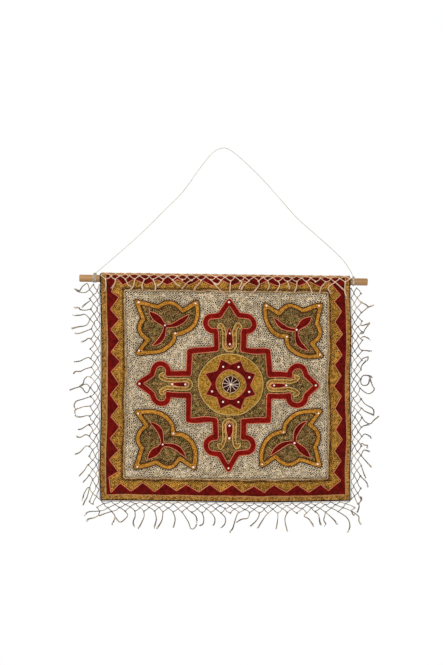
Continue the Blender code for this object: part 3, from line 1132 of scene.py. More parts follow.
def palmette_unit():
    outer = [(0.0, 0.0), (0.345, 0.092)]
    outer += curve([(0.345, 0.092), (0.44, 0.040), (0.55, 0.025), (0.66, 0.070), (0.755, 0.175)], 4)[1:]
    outer.append((1.0, 0.008))
    outer += curve([(1.0, 0.008), (1.005, 0.24), (0.93, 0.46), (0.79, 0.595), (0.615, 0.625)], 4)[1:]
    mirrored = [(b, a) for a, b in reversed(outer)]
    return outer + mirrored[:-1]


def placed(point, facts):
    return (
        facts["corner"][0] + point[0] * facts["size"][0],
        facts["corner"][1] + point[1] * facts["size"][1],
    )


def sprig_place(point, facts):
    """A place of the three petals, which sit a little differently in each palmette."""
    return placed((point[0] + facts["sprig"][0], point[1] + facts["sprig"][1]), facts)


palmette_depth = np.full(GX.shape, -FAR)
petal_depth = np.full(GX.shape, -FAR)
for facts in PALMETTES.values():
    outline = [placed(point, facts) for point in palmette_unit()]
    palmette_depth = np.maximum(palmette_depth, shape_depth(outline))
    flip = 1.0 if facts["size"][0] * facts["size"][1] > 0 else -1.0
    for petal in PETALS:
        root, tip = sprig_place(PETAL_ROOT, facts), sprig_place(petal["tip"], facts)
        shape = leaf(root, tip, petal["widest"], -petal["bend"] * flip, petal["full"], neck=petal["neck"])
        petal_depth = np.maximum(petal_depth, shape_depth(shape, 0.02))
print("palmettes", len(PALMETTES), "petals", len(PALMETTES) * len(PETALS))

# %% [markdown]
# Rows of stitches follow lines of equal depth. To find such a line we walk through the grid cell by cell:
# where the depth passes the wanted value between two neighbouring places, the line crosses there. Each
# cell that it enters also says where it leaves, so the crossings link up into closed lines.

# %% Lines of equal depth
CELL_RUNS = {
    1: ((0, 3),), 2: ((1, 0),), 3: ((1, 3),), 4: ((2, 1),), 5: ((0, 3), (2, 1)), 6: ((2, 0),),
    7: ((2, 3),), 8: ((3, 2),), 9: ((0, 2),), 10: ((1, 0), (3, 2)), 11: ((1, 2),), 12: ((3, 1),),
    13: ((0, 1),), 14: ((3, 0),),
}


def equal_lines(depth, level):
    """Closed lines, as arrays of flat places, where the depth has one value."""
    height = depth - level
    height[[0, -1], :] = -1.0
    height[:, [0, -1]] = -1.0
    height[height == 0.0] = 1e-9
    inside = height > 0.0
    rows, columns = height.shape
    case = inside[:-1, :-1] + 2 * inside[:-1, 1:] + 4 * inside[1:, 1:] + 8 * inside[1:, :-1]
    number = np.arange(rows * columns).reshape(rows, columns)
    upright = rows * columns
    sides = (
        number[:-1, :-1],
        upright + number[:-1, 1:],
        number[1:, :-1],
        upright + number[:-1, :-1],
    )
    following = {}
    for kind, runs in CELL_RUNS.items():
        where = case == kind
        for enter, leave in runs:
            following.update(zip(sides[enter][where].tolist(), sides[leave][where].tolist()))
    flat = height.ravel()
    lines = []
    while following:
        first = next(iter(following))
        chain = [first]
        step = following.pop(first)
        while step in following:
            chain.append(step)
            step = following.pop(step)
        ids = np.array(chain)
        is_upright = ids >= upright
        base = np.where(is_upright, ids - upright, ids)
        other = base + np.where(is_upright, columns, 1)
        part = flat[base] / (flat[base] - flat[other])
        x = board_x[base % columns] + np.where(is_upright, 0.0, part) * GRID_STEP
        z = board_z[base // columns] + np.where(is_upright, part, 0.0) * GRID_STEP
        lines.append(np.stack([x, z], axis=1))
    return lines


print("test:", len(equal_lines(disc_depth, 0.0)), "line round the disc")

# %% [markdown]
# A row of stitches is one such line cut into even lengths. The row starts at a place left to chance, so
# that the joins don't line up. A ring too short for two stitches gets one stitch across it.

# %% Rows of stitches
SHORTEST_RING = 1.7
LEAST_POINTS = 4
stitch_noise = np.random.default_rng(5)


def cut_into_stitches(line, stitch):
    """Start and end places of the stitches along one closed line."""
    closed = np.vstack([line, line[:1]])
    total = line_length(closed)
    if total < SHORTEST_RING * stitch:
        far = np.argmax(np.linalg.norm(line - line[0], axis=1))
        return line[:1], line[far : far + 1]
    count = max(3, round(total / stitch))
    turned_line = np.roll(line, stitch_noise.integers(len(line)), axis=0)
    even = even_steps(np.vstack([turned_line, turned_line[:1]]), count + 1)
    return even[:-1], even[1:]


def stitch_rows(fields_levels, stitch):
    """Start and end places of the stitches along lines of equal depth."""
    starts, ends = [], []
    for depth, level in fields_levels:
        for line in equal_lines(depth, level):
            if len(line) >= LEAST_POINTS:
                start, end = cut_into_stitches(line, stitch)
                starts.append(start)
                ends.append(end)
    return np.vstack(starts), np.vstack(ends)


def echo_rows(depth, stitch, pitch, first):
    """Rows that echo a shape's outline, from the outside in."""
    levels = [first]
    deepest = float(depth.max())
    while levels[-1] + pitch < deepest:
        levels.append(levels[-1] + pitch)
    return stitch_rows([(depth, level) for level in levels], stitch)


print("a ring under", SHORTEST_RING, "stitches long gets one stitch")

# %% [markdown]
# Echoing rows leave bare spots where a shape narrows or where rows meet in its middle, and a sewer fills
# these with single stitches. We paint the board where the rows have covered it, and put a stitch on the
# deepest bare place, along the nearest outline, until none is left.

# %% Single stitches on bare spots
COVER = 0.56
LEAST_DEPTH = 0.0010
SINGLE_HALF = 0.4
COVERED_PARTS = (0.1, 0.5, 0.9)
SINGLE_PARTS = (-0.35, 0.0, 0.35)
SINGLE_COVER = 0.9
EDGE_ROOM = 0.0004


def paint(covered, points, reach):
    """Marks the board's places within reach of some points."""
    columns = np.round((points[:, 0] - board_x[0]) / GRID_STEP).astype(int)
    rows = np.round((points[:, 1] - board_z[0]) / GRID_STEP).astype(int)
    span = int(reach / GRID_STEP) + 1
    for down in range(-span, span + 1):
        for right in range(-span, span + 1):
            if math.hypot(down, right) * GRID_STEP <= reach:
                at = np.clip(rows + down, 0, covered.shape[0] - 1)
                covered[at, np.clip(columns + right, 0, covered.shape[1] - 1)] = True


def fill_bare_spots(depth, starts, ends, stitch, pitch, first):
    """Single stitches where the rows leave the ground bare, narrower in narrow places."""
    covered = depth < LEAST_DEPTH
    for part in COVERED_PARTS:
        paint(covered, starts + (ends - starts) * part, pitch * COVER)
    slope_z, slope_x = np.gradient(depth)
    extra = []
    narrow = []
    bare = np.argwhere(~covered)
    for row, column in bare[np.argsort(-depth[~covered])]:
        if covered[row, column]:
            continue
        along = np.array([-slope_z[row, column], slope_x[row, column]])
        along = unit(along if np.linalg.norm(along) > 1e-9 else np.array([1.0, 0.0]))
        middle = np.array([board_x[column], board_z[row]])
        extra.append((middle - along * stitch * SINGLE_HALF, middle + along * stitch * SINGLE_HALF))
        narrow.append(min(1.0, (depth[row, column] + EDGE_ROOM) / first))
        for part in SINGLE_PARTS:
            paint(covered, (middle + along * stitch * part)[None, :], pitch * COVER * SINGLE_COVER)
    scale = np.concatenate([np.ones(len(starts)), np.array(narrow)])
    if extra:
        more = np.array(extra)
        starts, ends = np.vstack([starts, more[:, 0]]), np.vstack([ends, more[:, 1]])
    return starts, ends, scale


def fill_area(depth, stitch, pitch, first):
    """Echoing rows, and single stitches where they leave the ground bare."""
    starts, ends = echo_rows(depth, stitch, pitch, first)
    return fill_bare_spots(depth, starts, ends, stitch, pitch, first)


print("each row covers", COVER, "of its pitch to either side")

# %% [markdown]
# Chain stitch is a row of small open loops, each caught by the next. One loop is a ring of six points
# with a three-sided section, narrow where it comes out of the loop before it and round at its other end,
# where it stands highest. The dark ground shows through the loops as the fine dots of the embroidery.

# %% Chain loops
FRONT_LIFT = GROUND_THICKNESS / 2
SUNK = 0.0001
LOOP_POINTS = 6
LOOP_HEIGHT = 0.0011
LOOP_REST = 0.80
LOOP_SLOPE = 0.30
LOOP_EGG = 0.38
LENGTHS = (0.94, 1.08)
WIDTHS = (0.88, 1.08)
HEIGHTS = (0.85, 1.12)
LEAN = 0.06


def chain_loops(starts, ends, width, thread, scale, back):
    """All the loops of some stitches. Each reaches back a part of its length into the one before."""
    count = len(starts)
    run = ends - starts
    length = np.linalg.norm(run, axis=1) * stitch_noise.uniform(*LENGTHS, count)
    along = unit(run)
    swing = stitch_noise.normal(0.0, LEAN, count)
    swung_x = along[:, 0] * np.cos(swing) - along[:, 1] * np.sin(swing)
    swung_z = along[:, 0] * np.sin(swing) + along[:, 1] * np.cos(swing)
    along = np.stack([swung_x, swung_z], axis=1)
    left = np.stack([-along[:, 1], along[:, 0]], axis=1)
    thread = thread * np.sqrt(scale)
    half = (width / 2 * scale - thread) * stitch_noise.uniform(*WIDTHS, count)
    turn = 2.0 * np.pi * (np.arange(LOOP_POINTS) + 0.5) / LOOP_POINTS
    u = length[:, None] * ((1.0 - back) / 2 - (1.0 + back) / 2 * np.cos(turn))[None, :]
    v = half[:, None] * (np.sin(turn) * (1.0 - LOOP_EGG * np.cos(turn)))[None, :]
    grow = np.stack([np.cos(turn), -np.sin(turn)], axis=1)
    centre = starts[:, None, :] + u[..., None] * along[:, None, :] + v[..., None] * left[:, None, :]
    outward = -grow[None, :, 0:1] * along[:, None, :] - grow[None, :, 1:2] * left[:, None, :]
    inner = centre - outward * thread[:, None, None]
    outer = centre + outward * thread[:, None, None]
    rise = ((LOOP_REST - LOOP_SLOPE * np.cos(turn)) * LOOP_HEIGHT)[None, :]
    rise = rise * stitch_noise.uniform(*HEIGHTS, count)[:, None]
    places = np.stack([inner, outer, centre], axis=2)
    lifts = np.stack([np.zeros_like(rise), np.zeros_like(rise), rise], axis=2) + FRONT_LIFT - SUNK
    points = on_cloth(places[..., 0], places[..., 1], lifts).reshape(-1, 3)
    ring = np.arange(LOOP_POINTS)
    after = (ring + 1) % LOOP_POINTS
    faces = []
    for a, b in ((0, 1), (1, 2), (2, 0)):
        faces.append(np.stack([ring * 3 + a, ring * 3 + b, after * 3 + b, after * 3 + a], axis=1))
    faces = np.concatenate(faces)
    shift = (np.arange(count) * LOOP_POINTS * 3)[:, None, None]
    return points, (faces[None] + shift).reshape(-1, 4)


print("loops stand", LOOP_HEIGHT * 1000, "mm on the cloth")

# %% [markdown]
# On the back the thread runs straight from stitch to stitch. We add it as one thin spindle for each two
# stitches, and leave out those that the hem covers.

# %% Threads on the back
JOINED = 0.001
HEM_MARGIN = 0.004
BELOW_HEM = ROD_CENTRE_Z - HEM_DEPTH - HEM_MARGIN
SPINDLE_HALF = 0.46
SPINDLE_WIDTH = 0.9
SPINDLE_DEPTH = 0.7
SPINDLE_BOW = 0.0002


def back_threads(starts, ends, thread):
    """The threads that the stitches leave on the back, below the hem: one for each two stitches."""
    odd = np.arange(1, len(starts) - 1, 2)
    joined = np.linalg.norm(starts[odd + 1] - ends[odd], axis=1) < JOINED
    odd = odd[joined & (starts[odd, 1] < BELOW_HEM)]
    if not len(odd):
        return None
    start, end = starts[odd], ends[odd + 1]
    across = unit(end - start)[:, ::-1] * (-1.0, 1.0) * thread * SPINDLE_WIDTH
    middle = (start + end) / 2
    run = (end - start) * SPINDLE_HALF
    places = np.stack([middle - run, middle + across, middle + run, middle - across], axis=1)
    rise = np.array([0.0, SPINDLE_BOW, 0.0, SPINDLE_BOW]) + FRONT_LIFT - SUNK
    low = on_cloth(places[..., 0], places[..., 1], -rise[None, :])
    high = on_cloth(places[..., 0], places[..., 1], -rise[None, :] - thread * SPINDLE_DEPTH)
    points = np.concatenate([low, high], axis=1).reshape(-1, 3)
    walls = [(0, 4, 5, 1), (1, 5, 6, 2), (2, 6, 7, 3), (3, 7, 4, 0)]
    faces = np.array([(0, 1, 2, 3), (7, 6, 5, 4)] + walls)
    shift = (np.arange(len(start)) * 8)[:, None, None]
    return points, (faces[None] + shift).reshape(-1, 4)


print("threads on the back lie below", round(BELOW_HEM, 4))

# %% [markdown]
# These helpers sew: along single lines, or over a whole area. Each makes one piece, which rides on the one
# body of the tapestry.

# %% Sewing
CLOSED = 0.07
stitch_counts = {}


def sewn_piece(box, name, material, *notes):
    """Makes one piece of the embroidered cloth from all that a box holds."""
    piece = box.build(name, material)
    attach(piece, "root")
    print(name, *notes, box.triangles(), "triangles")


def sew(name, material, starts, ends, width, thread, scale=None, back=CLOSED):
    """Makes one piece of some stitches."""
    box = Tubes()
    scale = np.ones(len(starts)) if scale is None else scale
    box.add(*chain_loops(starts, ends, width, thread, scale, back))
    behind = back_threads(starts, ends, thread)
    if behind:
        box.add(*behind)
    stitch_counts[name] = len(starts)
    sewn_piece(box, name, material, len(starts), "stitches,")


def sew_area(name, material, depth, stitch, pitch, first, width, thread, back=CLOSED):
    """Fills an area with echoing rows and makes one piece of them."""
    starts, ends, scale = fill_area(depth, stitch, pitch, first)
    sew(name, material, starts, ends, width, thread, scale, back)


def sew_lines(name, material, fields_levels, stitch, width, thread):
    """Sews single rows along lines of equal depth."""
    sew(name, material, *stitch_rows(fields_levels, stitch), width, thread)


print("a closed loop reaches", CLOSED, "of its length into the one before")

# %% [markdown]
# The cream field comes first. It is everything inside the speckled band that is not cross or palmette, and
# its open loops in unbleached cotton give the dotted ground of the whole picture. It is sewn in a left and
# a right half, so that neither mesh grows too large.

# %% Cream field
CORD_ROOM = 0.0010
SEAM_ROOM = 0.0004
CREAM_STITCH = 0.0068
CREAM_PITCH = 0.0053
CREAM_WIDTH = 0.0057
CREAM_THREAD = 0.00070
OPEN = 0.20
cream_yarn = yarn_material(
    "cream_cotton", ((208, 186, 148), (236, 214, 182), (248, 232, 206), (224, 202, 164)), cell=0.0046
)
cream_depth = np.minimum(field_depth, -cross_depth - RED_HALF)
cream_depth = np.minimum(cream_depth, -palmette_depth - PALMETTE_BAND) - CORD_ROOM
cream_starts, cream_ends, cream_scale = fill_area(cream_depth, CREAM_STITCH, CREAM_PITCH, CREAM_PITCH / 2)
on_left = cream_starts[:, 0] < CENTRE[0]
for half, chosen in (("left", on_left), ("right", ~on_left)):
    starts, ends, scale = cream_starts[chosen], cream_ends[chosen], cream_scale[chosen]
    sew("cream_field_" + half, cream_yarn, starts, ends, CREAM_WIDTH, CREAM_THREAD, scale, OPEN)

# %% [markdown]
# The bands of the border and of the motifs are narrow, so their rows run along them side by side. Ochre and
# maroon are worked closer than the cream, with loops that nearly close, and so they look solid. A brown
# row and a sand-coloured one part the border from the field.

# %% Border stitches
OCHRE_ROWS = (0.14, 0.38, 0.62)
TAN_ROW = 0.86
FAR_ACROSS = 1.5
SAND_ROW = 0.0016
SPECKLED_ROOM = 0.0022
ochre_yarn = yarn_material("ochre_cotton", ((112, 72, 28), (166, 118, 50), (192, 146, 76)), cell=0.0026)
maroon_yarn = yarn_material("maroon_cotton", ((86, 8, 4), (104, 11, 6), (120, 16, 10)), cell=0.0050)
speckled_yarn = yarn_material(
    "speckled_cotton", ((156, 108, 36), (204, 146, 54), (224, 168, 78), (186, 140, 56)), cell=0.0046
)
tan_yarn = yarn_material("tan_cotton", ((172, 120, 68), (192, 140, 90)), cell=0.0040)
brown_yarn = yarn_material("brown_cotton", ((82, 50, 20), (122, 80, 34), (160, 112, 52)), cell=0.0036)
sand_yarn = yarn_material("sand_cotton", ((184, 146, 98), (206, 170, 122), (222, 190, 146)), cell=0.0040)
across_band = edge_depth / np.maximum(edge_depth - band_depth, 1e-6)
across_band[edge_depth <= 0.0] = -1.0
band_rows = [(np.minimum(across_band, FAR_ACROSS), level) for level in OCHRE_ROWS]
sew_lines("ochre_border", ochre_yarn, band_rows, stitch=0.0046, width=0.0042, thread=0.0011)
tan_rows = [(np.minimum(across_band, FAR_ACROSS), TAN_ROW)]
sew_lines("tan_border", tan_yarn, tan_rows, stitch=0.0044, width=0.0038, thread=0.0011)
maroon_depth = np.minimum(band_depth, -zigzag_depth) - CORD_ROOM
sew_area(
    "maroon_border", maroon_yarn, maroon_depth,
    stitch=0.0054, pitch=0.0039, first=0.0017, width=0.0047, thread=0.0012,
)
speckled_depth = np.minimum(zigzag_depth, -field_depth - DARK_ROW - SPECKLED_ROOM) - CORD_ROOM * 0.6
sew_area(
    "speckled_border", speckled_yarn, speckled_depth,
    stitch=0.0056, pitch=0.0050, first=0.0024, width=0.0055, thread=0.0008, back=OPEN,
)
sew_lines("dark_row", brown_yarn, [(field_depth, -DARK_ROW)], stitch=0.0046, width=0.0040, thread=0.0009)
sew_lines("tan_row", sand_yarn, [(field_depth, -SAND_ROW)], stitch=0.0048, width=0.0040, thread=0.00085)

# %% [markdown]
# The cross is a red band between two pink cords. Its rows lie close together and read as solid red. Inside
# it the ground is olive, a mixed yarn whose shades change every few millimetres, in open loops. The loops
# of ochre and the small maroon drops are closed again.

# %% Cross stitches
red_yarn = yarn_material("red_cotton", ((118, 8, 3), (138, 11, 5), (152, 19, 10)), cell=0.0044)
olive_shades = ((92, 74, 32), (176, 140, 80), (132, 114, 56), (198, 164, 106), (142, 92, 52))
olive_yarn = yarn_material("olive_cotton", olive_shades, cell=0.0044)
OLIVE_WORK = {"stitch": 0.0057, "pitch": 0.0053, "first": 0.0023, "width": 0.0057, "thread": 0.00076}
red_rows = [(cross_depth, level) for level in (-0.0039, 0.0, 0.0039)]
sew_lines("red_cross", red_yarn, red_rows, stitch=0.0046, width=0.0046, thread=0.0012)
loop_depth = LOOP_BAND - loop_distance
arm_depth = np.minimum(cross_depth - RED_HALF, -disc_depth)
arm_depth = np.minimum(np.minimum(arm_depth, -loop_depth), -drop_depth) - CORD_ROOM
sew_area("olive_cross", olive_yarn, arm_depth, **OLIVE_WORK, back=OPEN)
loop_rows = [(loop_depth, LOOP_BAND - 0.0017)]
sew_lines("ochre_loops", ochre_yarn, loop_rows, stitch=0.0042, width=0.0040, thread=0.0011)
sew_area(
    "maroon_drops", maroon_yarn, drop_depth - SEAM_ROOM,
    stitch=0.0042, pitch=0.0032, first=0.0014, width=0.0042, thread=0.0011,
)

# %% [markdown]
# The medallion is a disc of close gold rings. The same echoing rows make them: the disc is filled from its
# rim inwards, and where the maroon star lies the field stops at the star's outline, so nothing is sewn
# twice.

# %% Medallion stitches
gold_yarn = yarn_material("gold_cotton", ((132, 92, 28), (176, 130, 44), (200, 155, 66)), cell=0.0023)
dark_yarn = yarn_material("dark_cotton", ((34, 12, 6), (54, 22, 12), (70, 34, 18)), cell=0.0040)
disc_field = np.minimum(disc_depth, -star_depth) - CORD_ROOM
sew_area(
    "ochre_disc", gold_yarn, disc_field,
    stitch=0.0048, pitch=0.0037, first=0.0017, width=0.0045, thread=0.00115,
)
star_field = np.minimum(star_depth, -ring_depth) - CORD_ROOM
sew_area(
    "maroon_star", maroon_yarn, star_field,
    stitch=0.0046, pitch=0.0035, first=0.0016, width=0.0043, thread=0.00112,
)
ring_rows = [(ring_depth, level) for level in (0.0030, 0.0070, 0.0110)]
sew_lines("ochre_ring", gold_yarn, ring_rows, stitch=0.0046, width=0.0048, thread=0.00115)
sew_area(
    "dark_wheel", dark_yarn, wheel_depth - 0.0006,
    stitch=0.0042, pitch=0.0034, first=0.0016, width=0.0040, thread=0.0011,
)

# %% [markdown]
# Each palmette is an orange band round an olive field with three maroon petals. All four are filled in one
# go, because one field on the board can hold four islands, and the contour lines find each of them.

# %% Palmette stitches
orange_yarn = yarn_material("orange_cotton", ((168, 108, 30), (200, 138, 48), (214, 158, 68)), cell=0.0024)
palmette_rows = [(palmette_depth, level) for level in (-0.0036, 0.0, 0.0036)]
sew_lines("orange_palmettes", orange_yarn, palmette_rows, stitch=0.0046, width=0.0046, thread=0.00115)
inner_depth = np.minimum(palmette_depth - PALMETTE_BAND, -petal_depth) - CORD_ROOM
sew_area("olive_palmettes", olive_yarn, inner_depth, **OLIVE_WORK, back=OPEN)
sew_area(
    "maroon_petals", maroon_yarn, petal_depth - 0.0003,
    stitch=0.0046, pitch=0.0034, first=0.0015, width=0.0044, thread=0.0012,
)
print("all stitches", sum(stitch_counts.values()))

# %% [markdown]
# Thin cords are couched along the outlines, which means that they lie on the cloth and small stitches hold
# them down. Each is a tube that swells and narrows every five millimetres or so, where such a stitch pulls
# it in. The lines of equal depth that placed the stitches place the cords as well.

# %% Couched cords
CORD_STEP = 0.0019
CORD_SWELL = 0.16
CORD_BEAT = 2.3
CORD_ACROSS = (0.3, 1.0, 0.2)
CORD_LEAST_POINTS = 9


def lay_cord(box, line, radius, closed=True):
    """Adds one couched cord along a flat line."""
    if closed:
        line = np.vstack([line, line[:1]])
    count = max(5, int(line_length(line) / CORD_STEP))
    flat = even_steps(line, count)
    lift = FRONT_LIFT + radius * 0.9
    swell = 1.0 + CORD_SWELL * np.cos(np.arange(count) * CORD_BEAT)
    if closed:
        swell[-1] = swell[0]
    box.add(*tube(on_cloth(flat[:, 0], flat[:, 1], lift), radius * swell, 4, CORD_ACROSS))


def cords(name, material, fields_levels, radius, extra=()):
    """One piece of closed cords along lines of equal depth, and of open ones along extra lines."""
    box = Tubes()
    for depth, level in fields_levels:
        for line in equal_lines(depth, level):
            if len(line) >= CORD_LEAST_POINTS:
                lay_cord(box, line, radius)
    for line in extra:
        lay_cord(box, np.asarray(line), radius, closed=False)
    sewn_piece(box, name, material)


print("places on a cord lie", CORD_STEP * 1000, "mm apart")

# %% [markdown]
# The cords part the colours: dusty pink round the red and maroon, pale yellow round the loops and the disc,
# and dark brown round the palmettes. The wheel gets its pale spokes, which are spaced a little unevenly,
# and a sand-coloured rim.

# %% Outline cords
SPOKE_START = 0.0022
SPOKE_END = WHEEL_RADIUS - 0.0006


def spoke_lines():
    drawn = random.Random(31)
    middle = (SPOKE_START + SPOKE_END) / 2
    spokes = []
    for spoke in range(SPOKES):
        angle = 2.0 * math.pi * (spoke + drawn.uniform(0.12, 0.58)) / SPOKES
        away = np.array([math.cos(angle), math.sin(angle) * MEDALLION_FLAT])
        spokes.append([np.array(MEDALLION) + radius * away for radius in (SPOKE_START, middle, SPOKE_END)])
    return spokes


pink_yarn = yarn_material("pink_cotton", ((196, 108, 78), (218, 132, 98), (208, 120, 88)), cell=0.0030)
yellow_yarn = yarn_material("yellow_cotton", ((196, 160, 92), (212, 180, 112)), cell=0.0030)
bark_yarn = yarn_material("bark_cotton", ((58, 32, 12), (84, 50, 20)), cell=0.0030)
pale_yarn = yarn_material("pale_cotton", ((214, 186, 168), (228, 204, 186)), cell=0.0030)
pink_lines = [
    (cross_depth, RED_HALF),
    (cross_depth, -RED_HALF),
    (zigzag_depth, 0.0),
    (star_depth, 0.0),
    (ring_depth, 0.0),
    (petal_depth, -SEAM_ROOM),
    (drop_depth, -SEAM_ROOM),
]
cords("pink_outlines", pink_yarn, pink_lines, 0.00088)
cords("tan_outlines", tan_yarn, [(band_depth, -0.0003)], 0.0008)
cords("yellow_outlines", yellow_yarn, [(loop_depth, 0.0), (disc_depth, 0.0)], 0.00095)
brown_lines = [(palmette_depth, PALMETTE_BAND), (palmette_depth, -PALMETTE_BAND)]
cords("brown_outlines", bark_yarn, brown_lines, 0.0013)
cords("wheel_spokes", pale_yarn, [], 0.00078, spoke_lines())
cords("wheel_rim", sand_yarn, [(wheel_depth, -0.0002)], 0.0010)

# %% [markdown]
# Behind the rod the cloth is turned down as a hem, and slanting stitches of plain thread hold its raw edge
# to the back. This row is seen from behind alone. We lay each stitch as its own short tube: up from the
# cloth, over the edge, and into the hem.

# %% Hem stitches
HEM_STITCH_PITCH = 0.0072
HEM_THREAD = 0.00045
HEM_STITCH_FIRST = CLOTH_LEFT + 0.006
HEM_STITCH_LAST = CLOTH_RIGHT - 0.008


def make_hem_stitches():
    drawn = random.Random(41)
    hem_y = ground_rows[-1][0, 1]
    face = hem_y + GROUND_THICKNESS / 2 + HEM_THREAD * 0.6
    box = Tubes()
    for x in np.arange(HEM_STITCH_FIRST, HEM_STITCH_LAST, HEM_STITCH_PITCH):
        x = x + drawn.uniform(-0.0008, 0.0008)
        edge = rod_z(x) - HEM_DEPTH
        low = on_cloth(x, edge - drawn.uniform(0.0018, 0.0028), -GROUND_THICKNESS / 2)
        lean = drawn.uniform(0.0018, 0.0030)
        high = edge + drawn.uniform(0.0030, 0.0042)
        line = [
            low,
            (x + lean * 0.4, face, edge),
            (x + lean, face, high),
            (x + lean * 1.1, hem_y, high + 0.0006),
        ]
        box.add(*tube(np.array(line), HEM_THREAD, 6))
    sewn_piece(box, "hem_stitches", sand_yarn)


make_hem_stitches()

# %% [markdown]
# Small white knots mark the tips of every motif. Each is a low dome with a dimple, like a pearl-coloured
# French knot, turned from one short profile, so all of them can share one mesh.

# %% White knots
KNOT_WIDTH = 0.0024
KNOT_PROFILE = ((1.00, 0.00), (1.05, 0.42), (0.80, 0.85), (0.42, 1.00), (0.16, 0.82))
KNOT_HEIGHT = 0.0017
KNOT_FOOT = 0.0006
KNOT_SIDES = 10
ARM_KNOT = 0.002
DROP_ROOT_KNOT = 0.008
DROP_TIP_KNOTS = {"up": 0.014, "right": 0.003, "down": 0.003, "left": 0.003}
PALMETTE_KNOTS = ((0.028, 0.014), (0.982, 0.022), (0.020, 0.972), (0.628, 0.622))
STAR_KNOT_RADIUS = 0.0490
LOST_STAR_KNOT = 3


def knot_places():
    places = []
    for name, facts in ARMS.items():
        start, end, _ = LOOPS[name]["drop"]
        along = (facts["length"] - ARM_KNOT, start + DROP_ROOT_KNOT, end - DROP_TIP_KNOTS[name])
        places += turned([(u, 0.0) for u in along], facts["turn"])
    for facts in PALMETTES.values():
        places += [placed(tip, facts) for tip in PALMETTE_KNOTS]
        places.append(sprig_place(PETAL_ROOT, facts))
    for tip in range(STAR_TIPS):
        if tip != LOST_STAR_KNOT:
            angle = math.pi * (2 * tip + 1) / STAR_TIPS
            x = MEDALLION[0] + STAR_KNOT_RADIUS * math.cos(angle)
            places.append((x, MEDALLION[1] + STAR_KNOT_RADIUS * math.sin(angle) * MEDALLION_FLAT))
    places.append(MEDALLION)
    return places


def make_knots():
    turn = 2.0 * np.pi * np.arange(KNOT_SIDES) / KNOT_SIDES
    box = Tubes()
    for x, z in knot_places():
        size = KNOT_WIDTH * stitch_noise.uniform(0.9, 1.1)
        rings = []
        for reach, rise in KNOT_PROFILE:
            ring_x = x + size * reach * np.cos(turn)
            ring_z = z + size * reach * np.sin(turn)
            rings.append(on_cloth(ring_x, ring_z, FRONT_LIFT + KNOT_FOOT + KNOT_HEIGHT * rise))
        box.add(np.concatenate(rings), skin(len(KNOT_PROFILE), KNOT_SIDES))
    return box.build("white_knots", white_yarn)


white_yarn = yarn_material("white_cotton", ((232, 206, 192), (248, 226, 212)), cell=0.002)
knots = make_knots()
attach(knots, "root")
print("knots", len(knot_places()))

# %% [markdown]
# The cloth is cut as wide as it hangs and long enough to reach up the front, over the rod and down behind,
# and the rod carries it.

# %% [markdown]
# The edging is a net of knotted yarn, and tassels hang from the knots of its last row. Its knots lie where
# the solids have theirs, give or take a pull, so the same draws of chance are made in the same order.
# Between two knots runs a twisted yarn of two plies, and every knot is a small lump of crossed yarn.

# %% Net layout
NET_YARN = 0.0024
EDGE_GAP = 0.0006
SIDE_START = 0.016
CORNER_INSET = 0.0036
CORNER_REACH = 0.060
CORNER_FLARE = 0.75
NET_ROOM = 0.0024
NET_RADIUS = WRAP_RADIUS + SOLID_THICKNESS / 2 + NET_ROOM


def flare_at(along, length, flares):
    """How far the net leans out towards its first and its last corner, where it flares."""
    lean = 0.0
    if flares[0]:
        lean -= CORNER_FLARE * smooth_step(1.0 - along / CORNER_REACH) ** 0.8
    if flares[1]:
        lean += CORNER_FLARE * smooth_step(1.0 - (length - along) / CORNER_REACH) ** 0.8
    return float(lean)


def side_place(side, along, length, out):
    """A place on the net: along the cloth's edge, and out from the net's root."""
    root = NET_YARN / 2 + EDGE_GAP
    if side == "top":
        x = CLOTH_LEFT + CORNER_INSET + along
        angle = out / NET_RADIUS
        if angle < math.pi / 2:
            return np.array([x, -NET_RADIUS * math.sin(angle), rod_z(x) + NET_RADIUS * math.cos(angle)])
        return np.array([x, -NET_RADIUS, rod_z(x) + NET_RADIUS * math.pi / 2 - out])
    if side == "bottom":
        shift = flare_at(along, length, (True, True)) * out
        return sheet_point((CORNER_INSET + along) / CLOTH_WIDTH, 0.0) + np.array([shift, 0.0, -root - out])
    outward = -1.0 if side == "left" else 1.0
    up = (length + CORNER_INSET - along) / (length + CORNER_INSET + SIDE_START)
    shift = flare_at(along, length, (False, True)) * out
    return sheet_point(0.0 if side == "left" else 1.0, up) + np.array([outward * (root + out), 0.0, -shift])


def side_length(side):
    if side in ("top", "bottom"):
        return CLOTH_WIDTH - 2 * CORNER_INSET
    corner = CLOTH_LEFT if side == "left" else CLOTH_RIGHT
    return rod_z(corner) - CLOTH_BOTTOM - SIDE_START - CORNER_INSET


print("net sides", {side: round(side_length(side), 3) for side in ("left", "right", "bottom", "top")})

# %% [markdown]
# A net has a head rope with knots on the cloth's edge and three free rows of knots, each half a mesh on
# from the row before. Every free knot is shifted a little by chance.

# %% Knots of a net
KNOT_ROWS = (0.0064, 0.0146, 0.0234)
LEVEL_LOOPS = 26
UPRIGHT_LOOPS = 22
KNOT_SHIFT = 0.0011
FALL_SHARE = 0.6
LAST_ROW_LOOSE = 1.2


def net_knots(side, length, loops, drawn):
    """The four rows of knots, drawn in the same order as the solids'."""
    pitch = length / loops

    def knot(along, out, loose):
        shift = drawn.uniform(-KNOT_SHIFT, KNOT_SHIFT) * loose
        fall = drawn.uniform(-KNOT_SHIFT, KNOT_SHIFT) * FALL_SHARE * loose
        return side_place(side, along + shift, length, out + fall)

    root = [knot(k * pitch, 0.0, 0.0) for k in range(loops + 1)]
    first = [knot((k + 0.5) * pitch, KNOT_ROWS[0], 1.0) for k in range(loops)]
    second = [knot(k * pitch, KNOT_ROWS[1], 1.0) for k in range(loops + 1)]
    third = [knot((k + 0.5) * pitch, KNOT_ROWS[2], LAST_ROW_LOOSE) for k in range(loops)]
    return root, first, second, third


